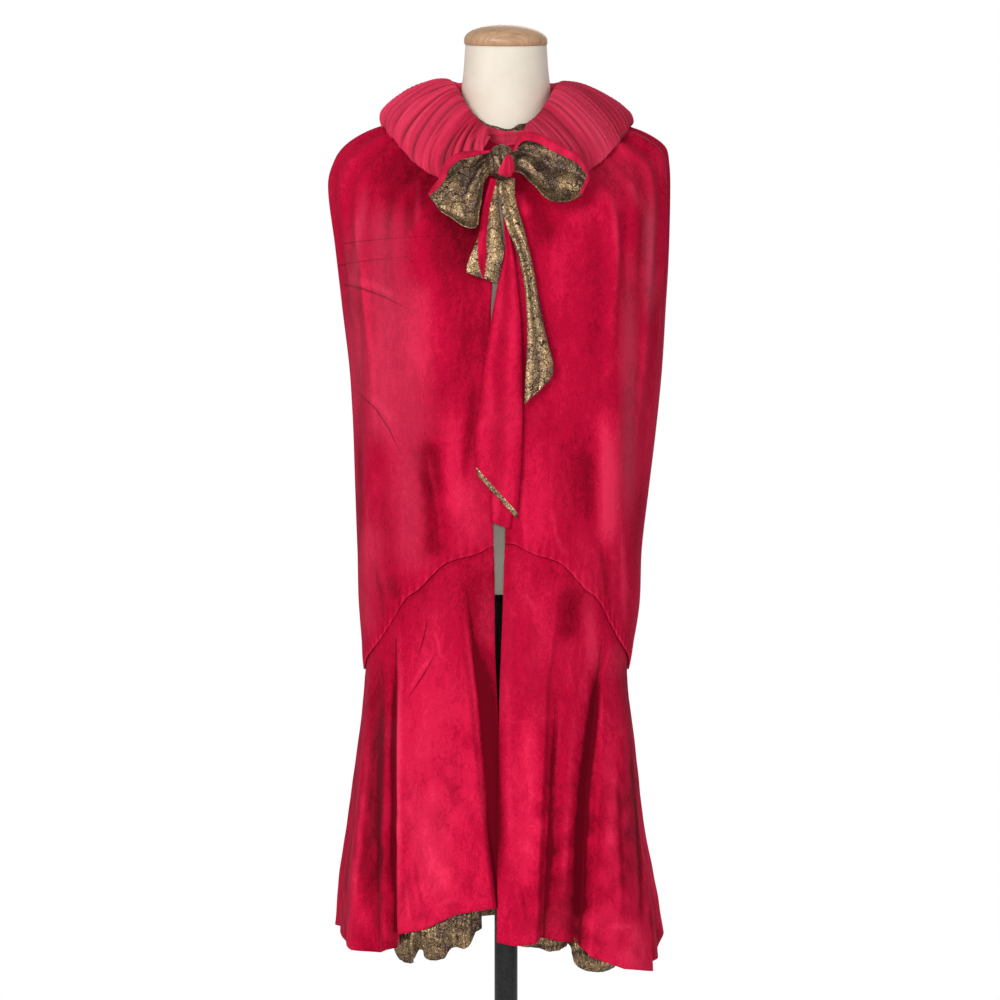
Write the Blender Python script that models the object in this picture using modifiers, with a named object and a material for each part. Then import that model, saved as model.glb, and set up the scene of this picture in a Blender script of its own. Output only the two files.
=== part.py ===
# An evening cape coat of velvet on a limbless dress form, in metres, +Z up.
# The origin is the middle of the base's underside, and the front faces -Y.
# An angle round the cape is in degrees from the centre front, positive toward +X.

from collections import namedtuple
from math import cos, copysign, degrees, pi, radians, sin

import bpy
from mathutils import Vector

OBJECT_NAME = "cape_coat_on_dress_form"

# Cloth and seams
VELVET_WALL = 0.0024
TIE_WALL = 0.0018
COLLAR_WALL = 0.0030
SEAM_GAP = 0.0004
ARCH_GAP = 0.0008
LAY_GAP = 0.0006
SQUARENESS = 0.85
# Degrees to each side, for the direction along the cloth at an angle
ANGLE_STEP = 1.0
# How often the search for a place on the shoulders halves its range
HALVINGS = 30

# Dress form and stand
BASE_RADIUS = 0.180
BASE_HEIGHT = 0.016
BASE_EDGE = 0.004
POLE_RADIUS = 0.015
TORSO_BOTTOM = 0.820
NECK_TOP = 1.532
NECK_TOP_RADIUS = 0.0530
NECK_TILT = 10.0
CAP_RADIUS = 0.0545
CAP_SIDE = 0.006
CAP_RISE = 0.021
FORM_CLEARANCE = 0.0006

# The shoulders of the cape, from the neck seam outward: half widths, depths and the
# heights at the side, at the centre front and at the centre back
YokeRow = namedtuple("YokeRow", "left right front back side_height front_height back_height")
YOKE = [
    YokeRow(0.0632, 0.0632, 0.0632, 0.0632, 1.4480, 1.3950, 1.4550),
    YokeRow(0.0900, 0.0900, 0.0820, 0.0820, 1.4420, 1.3810, 1.4460),
    YokeRow(0.1200, 0.1200, 0.1020, 0.1030, 1.4350, 1.3600, 1.4300),
    YokeRow(0.1620, 0.1600, 0.1250, 0.1280, 1.4250, 1.3250, 1.3900),
    YokeRow(0.1900, 0.1890, 0.1370, 0.1380, 1.4130, 1.2950, 1.3550),
    YokeRow(0.2105, 0.2075, 0.1430, 0.1430, 1.3980, 1.2720, 1.3350),
    YokeRow(0.2225, 0.2115, 0.1480, 0.1470, 1.3800, 1.2500, 1.3100),
    YokeRow(0.2305, 0.2130, 0.1520, 0.1500, 1.3480, 1.2150, 1.2700),
]

# The cape below the shoulders: half widths and depths at each height
FallRow = namedtuple("FallRow", "height left right front back")
FALL = [
    FallRow(1.348, 0.2305, 0.2130, 0.1480, 0.1470),
    FallRow(1.300, 0.2245, 0.2135, 0.1500, 0.1490),
    FallRow(1.200, 0.2135, 0.2080, 0.1525, 0.1530),
    FallRow(1.130, 0.2050, 0.2036, 0.1550, 0.1560),
    FallRow(1.040, 0.1985, 0.1950, 0.1570, 0.1570),
    FallRow(0.940, 0.1950, 0.1840, 0.1580, 0.1570),
    FallRow(0.860, 0.1930, 0.1752, 0.1570, 0.1570),
    FallRow(0.800, 0.1912, 0.1735, 0.1550, 0.1570),
    FallRow(0.745, 0.1880, 0.1665, 0.1540, 0.1570),
    FallRow(0.715, 0.1835, 0.1580, 0.1550, 0.1580),
    FallRow(0.670, 0.1865, 0.1610, 0.1600, 0.1630),
    FallRow(0.620, 0.1920, 0.1650, 0.1670, 0.1710),
    FallRow(0.560, 0.1976, 0.1690, 0.1750, 0.1810),
    FallRow(0.500, 0.2040, 0.1750, 0.1850, 0.1920),
    FallRow(0.450, 0.2105, 0.1840, 0.1930, 0.2010),
    FallRow(0.390, 0.2145, 0.1920, 0.2000, 0.2090),
    FallRow(0.340, 0.2180, 0.1970, 0.2050, 0.2140),
]

# The arched seam across each front: share of the half width, and height
SeamRow = namedtuple("SeamRow", "share height")
ARCHED_SEAM = [
    SeamRow(0.000, 0.8880),
    SeamRow(0.060, 0.8870),
    SeamRow(0.200, 0.8745),
    SeamRow(0.310, 0.8690),
    SeamRow(0.400, 0.8625),
    SeamRow(0.465, 0.8520),
    SeamRow(0.575, 0.8305),
    SeamRow(0.670, 0.8170),
    SeamRow(0.765, 0.7890),
    SeamRow(0.855, 0.7640),
    SeamRow(0.960, 0.7350),
    SeamRow(1.000, 0.7150),
]
BACK_SEAM_HEIGHT = 0.700

# The two front edges: the distance from the middle at each height
EdgeRow = namedtuple("EdgeRow", "height left_edge right_edge")
FRONT_EDGES = [
    EdgeRow(1.400, -0.0040, 0.0030),
    EdgeRow(1.300, -0.0110, 0.0020),
    EdgeRow(1.200, -0.0190, 0.0015),
    EdgeRow(1.050, -0.0190, 0.0010),
    EdgeRow(0.900, -0.0180, 0.0010),
    EdgeRow(0.850, -0.0155, -0.0010),
    EdgeRow(0.800, -0.0130, -0.0010),
    EdgeRow(0.750, -0.0120, -0.0045),
    EdgeRow(0.700, -0.0095, -0.0055),
    EdgeRow(0.600, -0.0050, -0.0080),
    EdgeRow(0.380, 0.0010, -0.0105),
]

# Soft gathers that fall from under the collar: they fade out at their end height
GatherRow = namedtuple("GatherRow", "angle half_width rise end_height")
GATHERS = [
    GatherRow(-78, 6, 0.0030, 1.05),
    GatherRow(-66, 5, 0.0045, 0.98),
    GatherRow(-55, 5, 0.0060, 1.00),
    GatherRow(-45, 4, 0.0035, 1.20),
    GatherRow(-36, 4, 0.0050, 1.12),
    GatherRow(-26, 4, 0.0055, 1.08),
    GatherRow(24, 4, 0.0040, 1.15),
    GatherRow(37, 4, 0.0060, 1.02),
    GatherRow(47, 4, 0.0040, 1.16),
    GatherRow(58, 5, 0.0060, 0.96),
    GatherRow(70, 5, 0.0045, 1.05),
    GatherRow(102, 6, 0.0040, 1.08),
    GatherRow(118, 6, 0.0055, 1.00),
    GatherRow(134, 6, 0.0045, 1.10),
    GatherRow(150, 6, 0.0060, 1.02),
    GatherRow(166, 6, 0.0040, 1.12),
    GatherRow(182, 6, 0.0055, 1.00),
    GatherRow(198, 6, 0.0045, 1.10),
    GatherRow(214, 6, 0.0060, 1.02),
    GatherRow(230, 6, 0.0045, 1.08),
    GatherRow(246, 6, 0.0055, 1.00),
    GatherRow(260, 5, 0.0035, 1.10),
]
GATHER_START_ROW = 2.2
GATHER_FULL_ROW = 4.0
GATHER_FADE = 0.22
UPPER_ROWS = 6

# Ridges and valleys of the skirt in order round it: where each starts at the seam and
# ends at the hem, how far out it stands there, how high the hem is, and how many
# strips of cloth lead to the next one
SkirtRow = namedtuple("SkirtRow", "seam_angle hem_angle rise hem_height strips")
SKIRT_LEFT = [
    SkirtRow(-90.0, -90.0, 0.000, 0.385, 3),
    SkirtRow(-80.0, -72.0, 0.000, 0.378, 3),
    SkirtRow(-72.0, -58.0, 0.010, 0.371, 3),
    SkirtRow(-62.0, -45.5, -0.004, 0.371, 3),
    SkirtRow(-54.0, -40.0, 0.008, 0.376, 2),
    SkirtRow(-46.5, -36.2, -0.006, 0.380, 2),
    SkirtRow(-44.0, -33.2, 0.013, 0.398, 3),
    SkirtRow(-32.0, -24.0, 0.012, 0.405, 3),
    SkirtRow(-23.0, -13.0, 0.007, 0.425, 3),
    SkirtRow(-15.0, -5.4, 0.012, 0.433, 2),
    SkirtRow(-12.5, -4.2, -0.001, 0.433, 2),
    SkirtRow(0.0, 0.0, -0.002, 0.433, 0),
]
SKIRT_RIGHT = [
    SkirtRow(0.0, 0.0, 0.007, 0.391, 2),
    SkirtRow(6.0, 3.5, 0.011, 0.387, 3),
    SkirtRow(19.0, 9.0, 0.009, 0.389, 2),
    SkirtRow(22.0, 11.4, -0.002, 0.396, 2),
    SkirtRow(31.0, 18.3, 0.005, 0.391, 3),
    SkirtRow(49.0, 25.0, -0.005, 0.388, 2),
    SkirtRow(52.0, 27.6, 0.014, 0.372, 3),
    SkirtRow(64.0, 41.0, 0.019, 0.354, 3),
    SkirtRow(77.0, 60.0, 0.014, 0.344, 2),
    SkirtRow(80.5, 63.5, -0.004, 0.350, 2),
    SkirtRow(85.0, 76.0, 0.003, 0.352, 2),
    SkirtRow(90.0, 90.0, 0.000, 0.352, 0),
]
BACK_FOLDS = 9
BACK_FOLD_RISE = 0.013
BACK_FOLD_DROP = -0.004
BACK_HEM_HEIGHT = 0.346
RISE_POWER = 0.75
# Shares of the drop from seam to hem at which the skirt has a row of points
SKIRT_SHARES = (0.0, 0.04, 0.20, 0.40, 0.60, 0.80, 1.0)

# The ruched collar from its neck edge over the crest to its lower edge
COLLAR_COLUMNS = "left right front back side_height front_height back_height rise"
CollarRow = namedtuple("CollarRow", COLLAR_COLUMNS)
COLLAR = [
    CollarRow(0.0640, 0.0640, 0.0640, 0.0640, 1.4660, 1.3970, 1.4720, 0.0000),
    CollarRow(0.0655, 0.0655, 0.0670, 0.0655, 1.4770, 1.4060, 1.4830, 0.0010),
    CollarRow(0.0770, 0.0750, 0.0790, 0.0770, 1.4830, 1.4110, 1.4890, 0.0020),
    CollarRow(0.1000, 0.0980, 0.0950, 0.1000, 1.4780, 1.4020, 1.4830, 0.0030),
    CollarRow(0.1270, 0.1270, 0.1090, 0.1230, 1.4650, 1.3870, 1.4660, 0.0035),
    CollarRow(0.1490, 0.1510, 0.1190, 0.1400, 1.4500, 1.3710, 1.4460, 0.0035),
    CollarRow(0.1590, 0.1620, 0.1250, 0.1490, 1.4390, 1.3560, 1.4300, 0.0020),
    CollarRow(0.1590, 0.1620, 0.1250, 0.1480, 1.4310, 1.3420, 1.4180, 0.0000),
    CollarRow(0.1480, 0.1510, 0.1170, 0.1390, 1.4330, 1.3450, 1.4190, 0.0000),
]
COLLAR_PLEATS = 60
COLLAR_FRONT_ANGLE = 11.0

# The standing band round the neck that carries the collar and the ties
BAND_RADIUS = 0.0633
BAND_WALL = 0.0022
BAND_FRONT_ANGLE = 3.0
BAND_FRONT_TOP = 1.4150
BAND_SIDE_TOP = 1.4640
BAND_STRIPS = 32
BAND_LIFT = 0.0008

# The lining ruffle: where each stretch runs, how low it hangs and how many waves it has
RuffleRow = namedtuple("RuffleRow", "angle hem_height")
RUFFLE_LEFT = [
    RuffleRow(-37.0, 0.357),
    RuffleRow(-32.0, 0.355),
    RuffleRow(-28.0, 0.362),
    RuffleRow(-23.0, 0.364),
    RuffleRow(-18.0, 0.377),
    RuffleRow(-9.0, 0.380),
]
RUFFLE_RIGHT = [
    RuffleRow(4.0, 0.383),
    RuffleRow(12.0, 0.377),
    RuffleRow(18.0, 0.373),
    RuffleRow(25.0, 0.366),
    RuffleRow(31.0, 0.351),
    RuffleRow(42.0, 0.345),
]
RUFFLE_LEFT_WAVES = 6
RUFFLE_RIGHT_WAVES = 6
RUFFLE_RISE = 0.007
RUFFLE_TOP = 0.022
RUFFLE_INSET = 0.004
RUFFLE_STRIPS_PER_WAVE = 6
RUFFLE_ROWS = 2
# The ruffle keeps inside the skirt's folds this many degrees to each side, and a share more
RUFFLE_REACH = 4.5
RUFFLE_REACH_STEPS = 6
RUFFLE_EASE = 0.14

# The bow: each loop is a scoop of cloth, a row for each section out from the knot
LoopRow = namedtuple("LoopRow", "top_x top_z low_x low_z depth")
LOOP_LEFT = [
    LoopRow(-0.0239, 1.3745, -0.0239, 1.3565, 0.010),
    LoopRow(-0.0364, 1.3771, -0.0274, 1.3394, 0.018),
    LoopRow(-0.0515, 1.3752, -0.0301, 1.3168, 0.024),
    LoopRow(-0.0641, 1.3721, -0.0327, 1.2992, 0.027),
    LoopRow(-0.0754, 1.3633, -0.0352, 1.2829, 0.028),
    LoopRow(-0.0816, 1.3469, -0.0477, 1.2804, 0.024),
    LoopRow(-0.0904, 1.3331, -0.0641, 1.2904, 0.018),
    LoopRow(-0.0985, 1.3243, -0.0829, 1.3042, 0.011),
]
LOOP_RIGHT = [
    LoopRow(0.0119, 1.3760, 0.0119, 1.3560, 0.010),
    LoopRow(0.0180, 1.3972, 0.0180, 1.3495, 0.021),
    LoopRow(0.0289, 1.4010, 0.0264, 1.3419, 0.026),
    LoopRow(0.0440, 1.3972, 0.0364, 1.3306, 0.030),
    LoopRow(0.0590, 1.3896, 0.0490, 1.3181, 0.032),
    LoopRow(0.0754, 1.3815, 0.0641, 1.3130, 0.031),
    LoopRow(0.0917, 1.3708, 0.0766, 1.3149, 0.026),
    LoopRow(0.1017, 1.3557, 0.0879, 1.3193, 0.017),
    LoopRow(0.1044, 1.3432, 0.0955, 1.3243, 0.009),
]
# Share of the depth toward the front and of the height, from the rolled upper lip
# over the top, down the back and out to the lower lip
ScoopRow = namedtuple("ScoopRow", "forward height")
SCOOP = [
    ScoopRow(0.98, 0.80),
    ScoopRow(1.00, 0.92),
    ScoopRow(0.75, 1.00),
    ScoopRow(0.35, 0.98),
    ScoopRow(0.08, 0.84),
    ScoopRow(0.00, 0.58),
    ScoopRow(0.05, 0.30),
    ScoopRow(0.25, 0.08),
    ScoopRow(0.55, 0.00),
]
LOOP_BACK_HIGH = (1.400, -0.1310)
LOOP_BACK_LOW = (1.280, -0.1500)

KNOT_CENTRE = (-0.0060, -0.1415, 1.3655)
KNOT_SIZE = (0.0178, 0.0178, 0.0218)

# The tie's hanging ends: the two edges of each section, from the knot down
TailRow = namedtuple("TailRow", "left_x left_z right_x right_z")
TAIL_SHORT = [
    TailRow(-0.0200, 1.3455, -0.0085, 1.3432),
    TailRow(-0.0296, 1.3093, -0.0090, 1.3093),
    TailRow(-0.0352, 1.2716, -0.0040, 1.2716),
    TailRow(-0.0427, 1.2527, -0.0025, 1.2500),
    TailRow(-0.0500, 1.2330, -0.0070, 1.2314),
    TailRow(-0.0495, 1.2250, -0.0120, 1.2110),
]
TAIL_GOLD = [
    TailRow(-0.0070, 1.3432, 0.0110, 1.3460),
    TailRow(-0.0030, 1.3206, 0.0115, 1.3206),
    TailRow(0.0038, 1.2816, 0.0224, 1.2816),
    TailRow(0.0100, 1.2602, 0.0275, 1.2602),
    TailRow(0.0188, 1.2289, 0.0345, 1.2289),
    TailRow(0.0239, 1.1962, 0.0402, 1.1962),
    TailRow(0.0264, 1.1422, 0.0509, 1.1422),
    TailRow(0.0250, 1.1096, 0.0590, 1.1096),
    TailRow(0.0236, 1.0850, 0.0565, 1.0933),
    TailRow(0.0228, 1.0600, 0.0440, 1.0794),
]
TAIL_RED = [
    TailRow(-0.0060, 1.3434, 0.0040, 1.3434),
    TailRow(-0.0030, 1.2800, 0.0040, 1.2800),
    TailRow(-0.0020, 1.2540, 0.0090, 1.2540),
    TailRow(-0.0113, 1.2075, 0.0145, 1.2075),
    TailRow(-0.0214, 1.1497, 0.0190, 1.1497),
    TailRow(-0.0327, 1.0681, 0.0205, 1.0681),
    TailRow(-0.0402, 1.0216, 0.0200, 1.0216),
    TailRow(-0.0402, 0.9915, 0.0186, 0.9780),
    TailRow(-0.0360, 0.9720, 0.0138, 0.9190),
]
TAIL_UNDER = [
    TailRow(-0.0030, 1.2000, 0.0080, 1.2000),
    TailRow(-0.0110, 1.1000, 0.0120, 1.1000),
    TailRow(-0.0170, 1.0200, 0.0120, 1.0200),
    TailRow(-0.0188, 0.9400, 0.0095, 0.9400),
    TailRow(-0.0178, 0.9120, 0.0055, 0.9030),
]
# Height of each strip of a tail over the layer below it, across its width
TAIL_CURL = (0.0000, 0.0012, 0.0004, 0.0010, 0.0000)
# The tails leave the knot this far out and reach the fronts this far down
TAIL_LIFT = 0.0195
TAIL_LIFT_END = 1.300
TAIL_TOP = 1.343

# The dress form under the cape's shoulders: half width, depths and heights
FormRow = namedtuple("FormRow", "height side front back")
FORM_TRUNK = [
    FormRow(1.300, 0.1870, 0.1120, 0.1230),
    FormRow(1.240, 0.1640, 0.1230, 0.1230),
    FormRow(1.170, 0.1440, 0.1250, 0.1160),
    FormRow(1.090, 0.1270, 0.1080, 0.1050),
    FormRow(1.020, 0.1220, 0.0980, 0.1010),
    FormRow(0.950, 0.1340, 0.1060, 0.1100),
    FormRow(0.880, 0.1440, 0.1170, 0.1240),
    FormRow(TORSO_BOTTOM, 0.1470, 0.1190, 0.1270),
]
FORM_NECK = [
    FormRow(NECK_TOP, NECK_TOP_RADIUS, NECK_TOP_RADIUS, NECK_TOP_RADIUS),
    FormRow(1.5000, 0.0550, 0.0550, 0.0550),
    FormRow(1.4780, 0.0575, 0.0575, 0.0575),
]
FORM_SIDES = 40
FORM_SHOULDER_ROWS = 4
TRUNK_SQUARENESS = 0.9
NECK_BASE_RADIUS = 0.0600
NECK_BASE_DROP = 0.0045

Paint = namedtuple("Paint", "name colour roughness metallic")
VELVET = Paint("velvet", (0.52, 0.012, 0.055, 1.0), 0.75, 0.0)
VELVET_COLLAR = Paint("velvet_ruched", (0.60, 0.022, 0.080, 1.0), 0.75, 0.0)
LINING = Paint("lace_lining", (0.42, 0.32, 0.12, 1.0), 0.45, 0.5)
CREAM = Paint("form_cover", (0.80, 0.76, 0.66, 1.0), 0.80, 0.0)
WOOD = Paint("turned_wood", (0.55, 0.32, 0.16, 1.0), 0.45, 0.0)
METAL = Paint("painted_iron", (0.03, 0.03, 0.03, 1.0), 0.40, 0.6)


def clear_scene():
    for item in list(bpy.data.objects):
        bpy.data.objects.remove(item, do_unlink=True)


def make_collection():
    collection = bpy.data.collections.new(OBJECT_NAME)
    bpy.context.scene.collection.children.link(collection)
    return collection


def paint_object(item, paint):
    material = bpy.data.materials.new(item.name + "_" + paint.name)
    material.use_nodes = True
    shader = material.node_tree.nodes["Principled BSDF"]
    shader.inputs["Base Color"].default_value = paint.colour
    shader.inputs["Roughness"].default_value = paint.roughness
    shader.inputs["Metallic"].default_value = paint.metallic
    item.data.materials.append(material)


def add_mesh(collection, name, points, faces, paint):
    mesh = bpy.data.meshes.new(name)
    mesh.from_pydata([tuple(point) for point in points], [], faces)
    mesh.update()
    item = bpy.data.objects.new(name, mesh)
    collection.objects.link(item)
    paint_object(item, paint)
    mesh.shade_smooth()
    return item


def blend(first, second, share):
    return first + (second - first) * share


def ease(share):
    limited = min(max(share, 0.0), 1.0)
    return limited * limited * (3.0 - 2.0 * limited)


def table_value(rows, key, at, column):
    """The column's value at a place between two rows, on a smooth curve through all rows."""
    ordered = sorted(rows, key=lambda row: getattr(row, key))
    places = [getattr(row, key) for row in ordered]
    values = [getattr(row, column) for row in ordered]
    if at <= places[0]:
        return values[0]
    if at >= places[-1]:
        return values[-1]
    index = max(i for i in range(len(places) - 1) if places[i] <= at)
    slopes = []
    for i in (index, index + 1):
        before = max(i - 1, 0)
        after = min(i + 1, len(places) - 1)
        slopes.append((values[after] - values[before]) / (places[after] - places[before]))
    span = places[index + 1] - places[index]
    share = (at - places[index]) / span
    start = values[index] * (1.0 + 2.0 * share) * (1.0 - share) ** 2
    start += slopes[0] * span * share * (1.0 - share) ** 2
    end = values[index + 1] * (3.0 - 2.0 * share) * share ** 2
    end += slopes[1] * span * (share - 1.0) * share ** 2
    return start + end


def round_point(angle, left, right, front, back, squareness=SQUARENESS):
    """A point of a section that is a little squarer than an ellipse."""
    across = sin(radians(angle))
    ahead = cos(radians(angle))
    width = right if across > 0 else left
    depth = front if ahead > 0 else back
    x = width * copysign(abs(across) ** squareness, across)
    y = -depth * copysign(abs(ahead) ** squareness, ahead)
    return x, y


def tilted_height(angle, side_height, front_height, back_height):
    ahead = cos(radians(angle))
    end_height = front_height if ahead > 0 else back_height
    return side_height + (end_height - side_height) * ahead * ahead


def yoke_value(position, column):
    index = min(int(position), len(YOKE) - 2)
    return blend(getattr(YOKE[index], column), getattr(YOKE[index + 1], column), position - index)


def yoke_squareness(position):
    """Round at the neck, squarer where the cape falls."""
    return blend(1.0, SQUARENESS, position / (len(YOKE) - 1))


def yoke_point(angle, position):
    sizes = (yoke_value(position, name) for name in ("left", "right", "front", "back"))
    x, y = round_point(angle, *sizes, squareness=yoke_squareness(position))
    heights = (yoke_value(position, name) for name in ("side_height", "front_height", "back_height"))
    return Vector((x, y, tilted_height(angle, *heights)))


def fall_point(angle, height):
    sizes = (table_value(FALL, "height", height, name) for name in ("left", "right", "front", "back"))
    x, y = round_point(angle, *sizes)
    return Vector((x, y, height))


def outward(angle, height):
    """The level direction straight out of the cape."""
    along = fall_point(angle + ANGLE_STEP, height) - fall_point(angle - ANGLE_STEP, height)
    return Vector((along.y, -along.x, 0.0)).normalized()


def yoke_position(x, height):
    """The place between the shoulder rows of the front's point at a distance and a height."""
    low, high = 0.0, len(YOKE) - 1.0
    for _ in range(HALVINGS):
        position = 0.5 * (low + high)
        width = yoke_value(position, "left" if x < 0 else "right")
        turn = min(abs(x) / width, 1.0) ** (2.0 / yoke_squareness(position))
        side, front = yoke_value(position, "side_height"), yoke_value(position, "front_height")
        if side + (front - side) * (1.0 - turn) > height:
            low = position
        else:
            high = position
    return position


def seam_height(angle):
    if cos(radians(angle)) <= 0.0:
        turn = abs(cos(radians(angle)))
        return blend(ARCHED_SEAM[-1].height, BACK_SEAM_HEIGHT, ease(turn * 2.0))
    share = abs(sin(radians(angle))) ** SQUARENESS
    return table_value(ARCHED_SEAM, "share", share, "height")


def edge_angle(height, column):
    """The angle at which a front edge lies at its distance from the middle."""
    distance = table_value(FRONT_EDGES, "height", height, column)
    side = "left" if distance < 0 else "right"
    power = SQUARENESS
    if height > YOKE[-1].front_height:
        position = yoke_position(0.0, height)
        width = yoke_value(position, side)
        power = yoke_squareness(position)
    else:
        width = table_value(FALL, "height", height, side)
    return copysign(degrees((abs(distance) / width) ** (1.0 / power)), distance)


def gather_rise(angle, height, position):
    grown = ease((position - GATHER_START_ROW) / (GATHER_FULL_ROW - GATHER_START_ROW))
    total = 0.0
    for row in GATHERS:
        away = abs((angle - row.angle + 180.0) % 360.0 - 180.0) / row.half_width
        if away < 1.0 and height > row.end_height:
            faded = ease((height - row.end_height) / GATHER_FADE)
            total += row.rise * 0.5 * (1.0 + cos(pi * away)) * faded
    return total * grown


def upper_column(angle_of, row_count):
    """Points of the upper cape from the neck seam to the arched seam.

    angle_of gives the angle at a height, so that a front edge can wander."""
    points = []
    for index in range(len(YOKE) - 1):
        angle = angle_of(yoke_point(angle_of(YOKE[index].front_height), index).z)
        point = yoke_point(angle, index)
        points.append(point + outward(angle, FALL[0].height) * gather_rise(angle, point.z, index))
    last = len(YOKE) - 1
    start = yoke_point(angle_of(YOKE[-1].front_height), last).z
    end = seam_height(angle_of(ARCHED_SEAM[0].height)) + ARCH_GAP / 2.0
    for index in range(row_count + 1):
        height = blend(start, end, index / row_count)
        angle = angle_of(height)
        point = fall_point(angle, height)
        point += outward(angle, height) * gather_rise(angle, height, last)
        points.append(point)
    return points


def wall_from_columns(collection, name, columns, wall, paint, offset=-1.0):
    """An open sheet of cloth given as columns of points, thickened by a Solidify modifier."""
    rows = len(columns[0])
    points = [point for column in columns for point in column]
    faces = []
    for left in range(len(columns) - 1):
        for top in range(rows - 1):
            corner = left * rows + top
            faces.append((corner, corner + 1, corner + rows + 1, corner + rows))
    item = add_mesh(collection, name, points, faces, paint)
    solidify = item.modifiers.new("wall", "SOLIDIFY")
    solidify.thickness = wall
    solidify.offset = offset
    triangulate = item.modifiers.new("flat_faces", "TRIANGULATE")
    triangulate.quad_method = "SHORTEST_DIAGONAL"
    return item


def pull_in_edges(columns, amount):
    """Moves the first and last columns back along the cloth, for the gap at a seam."""
    for edge, inner in ((0, 1), (-1, -2)):
        columns[edge] = [
            point + (other - point).normalized() * amount
            for point, other in zip(columns[edge], columns[inner])
        ]


def station_angle(seam_angle, edge_column):
    """The angle of a column at each height: near the opening it follows the front edge."""
    if edge_column is None:
        return lambda height: seam_angle
    edge_share = 1.0 - abs(seam_angle) / 90.0
    return lambda height: seam_angle + edge_share * edge_angle(height, edge_column)


def upper_columns(skirt_rows, edge_column=None):
    """The upper cape has its columns where the skirt below has them."""
    return [
        upper_column(station_angle(station.seam_angle, edge_column), UPPER_ROWS)
        for station in skirt_stations(skirt_rows)
    ]


def build_upper_cape(collection):
    left = upper_columns(SKIRT_LEFT, "left_edge")
    right = upper_columns(SKIRT_RIGHT, "right_edge")
    back = upper_columns(back_skirt_rows())
    for name, columns in (("front_left", left), ("front_right", right), ("back", back)):
        pull_in_edges(columns, SEAM_GAP / 2.0)
        wall_from_columns(collection, name, columns, VELVET_WALL, VELVET)


def back_skirt_rows():
    """Even folds across the back, joining the side folds of the two fronts."""
    rows = [SKIRT_RIGHT[-1]._replace(strips=2)]
    count = 2 * BACK_FOLDS
    for index in range(1, count):
        angle = blend(90.0, 270.0, index / count)
        is_ridge = index % 2 == 1
        rise = BACK_FOLD_RISE if is_ridge else BACK_FOLD_DROP
        wobble = 1.0 + 0.25 * sin(1.7 * index)
        toward_left = ease((angle - 225.0) / 45.0)
        hem = blend(BACK_HEM_HEIGHT, SKIRT_LEFT[0].hem_height, toward_left)
        drift = 2.0 * sin(2.3 * index)
        rows.append(SkirtRow(angle, angle + drift, rise * wobble, hem, 2))
    rows.append(SkirtRow(270.0, 270.0, SKIRT_LEFT[0].rise, SKIRT_LEFT[0].hem_height, 0))
    return rows


def skirt_stations(rows):
    """Each column of the skirt as its two angles, its rise and its hem height."""
    stations = []
    for row, following in zip(rows, rows[1:]):
        for index in range(row.strips):
            share = index / row.strips
            soft = ease(share)
            stations.append(SkirtRow(
                blend(row.seam_angle, following.seam_angle, share),
                blend(row.hem_angle, following.hem_angle, share),
                blend(row.rise, following.rise, soft),
                blend(row.hem_height, following.hem_height, share),
                1,
            ))
    stations.append(rows[-1])
    return stations


def skirt_point(station, share, edge_column=None):
    """A point of the skirt: share runs from 0 at the seam to 1 at the hem.

    The folds start a little below the seam."""
    angle_of = station_angle(station.seam_angle, edge_column)
    seam_at = angle_of(ARCHED_SEAM[0].height)
    top = seam_height(seam_at) - ARCH_GAP / 2.0
    height = blend(top, station.hem_height, share)
    angle = angle_of(height) + (station.hem_angle - station.seam_angle) * share
    grown = max(share - SKIRT_SHARES[1], 0.0) / (1.0 - SKIRT_SHARES[1])
    rise = station.rise * grown ** RISE_POWER
    return fall_point(angle, height) + outward(angle, height) * rise


def skirt_columns(rows, edge_column=None):
    return [
        [skirt_point(station, share, edge_column) for share in SKIRT_SHARES]
        for station in skirt_stations(rows)
    ]


def build_skirt(collection):
    pieces = (
        ("skirt_left", skirt_columns(SKIRT_LEFT, "left_edge")),
        ("skirt_right", skirt_columns(SKIRT_RIGHT, "right_edge")),
        ("skirt_back", skirt_columns(back_skirt_rows())),
    )
    for name, columns in pieces:
        pull_in_edges(columns, SEAM_GAP / 2.0)
        wall_from_columns(collection, name, columns, VELVET_WALL, VELVET)


def skirt_hem_station(rows, hem_angle):
    """The skirt's column that meets the hem at an angle."""
    stations = sorted(skirt_stations(rows), key=lambda station: station.hem_angle)
    for lower, upper in zip(stations, stations[1:]):
        if lower.hem_angle <= hem_angle <= upper.hem_angle:
            share = (hem_angle - lower.hem_angle) / (upper.hem_angle - lower.hem_angle)
            return SkirtRow(*(blend(a, b, share) for a, b in zip(lower, upper)))
    return stations[-1]


def inner_rise(rows, hem_angle):
    """The lowest the skirt's folds come near an angle, so that the lining clears them."""
    steps = range(-RUFFLE_REACH_STEPS, RUFFLE_REACH_STEPS + 1)
    near = [hem_angle + RUFFLE_REACH * step / RUFFLE_REACH_STEPS for step in steps]
    return min(skirt_hem_station(rows, angle).rise for angle in near)


def ruffle_columns(skirt_rows, rows, waves):
    columns = []
    count = waves * RUFFLE_STRIPS_PER_WAVE
    for index in range(count + 1):
        share = index / count
        angle = blend(rows[0].angle, rows[-1].angle, share)
        station = skirt_hem_station(skirt_rows, angle)
        wave = sin(2.0 * pi * waves * share)
        low = table_value(rows, "angle", angle, "hem_height")
        high = station.hem_height + RUFFLE_TOP
        column = []
        rise = inner_rise(skirt_rows, angle) - VELVET_WALL - LAY_GAP
        rise -= RUFFLE_EASE * abs(rise)
        for step in range(RUFFLE_ROWS + 1):
            down = step / RUFFLE_ROWS
            height = blend(high, low, down)
            swing = (wave - 1.0) * RUFFLE_RISE * down - RUFFLE_INSET * down
            column.append(fall_point(angle, height) + outward(angle, height) * (rise + swing))
        columns.append(column)
    return columns


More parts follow.
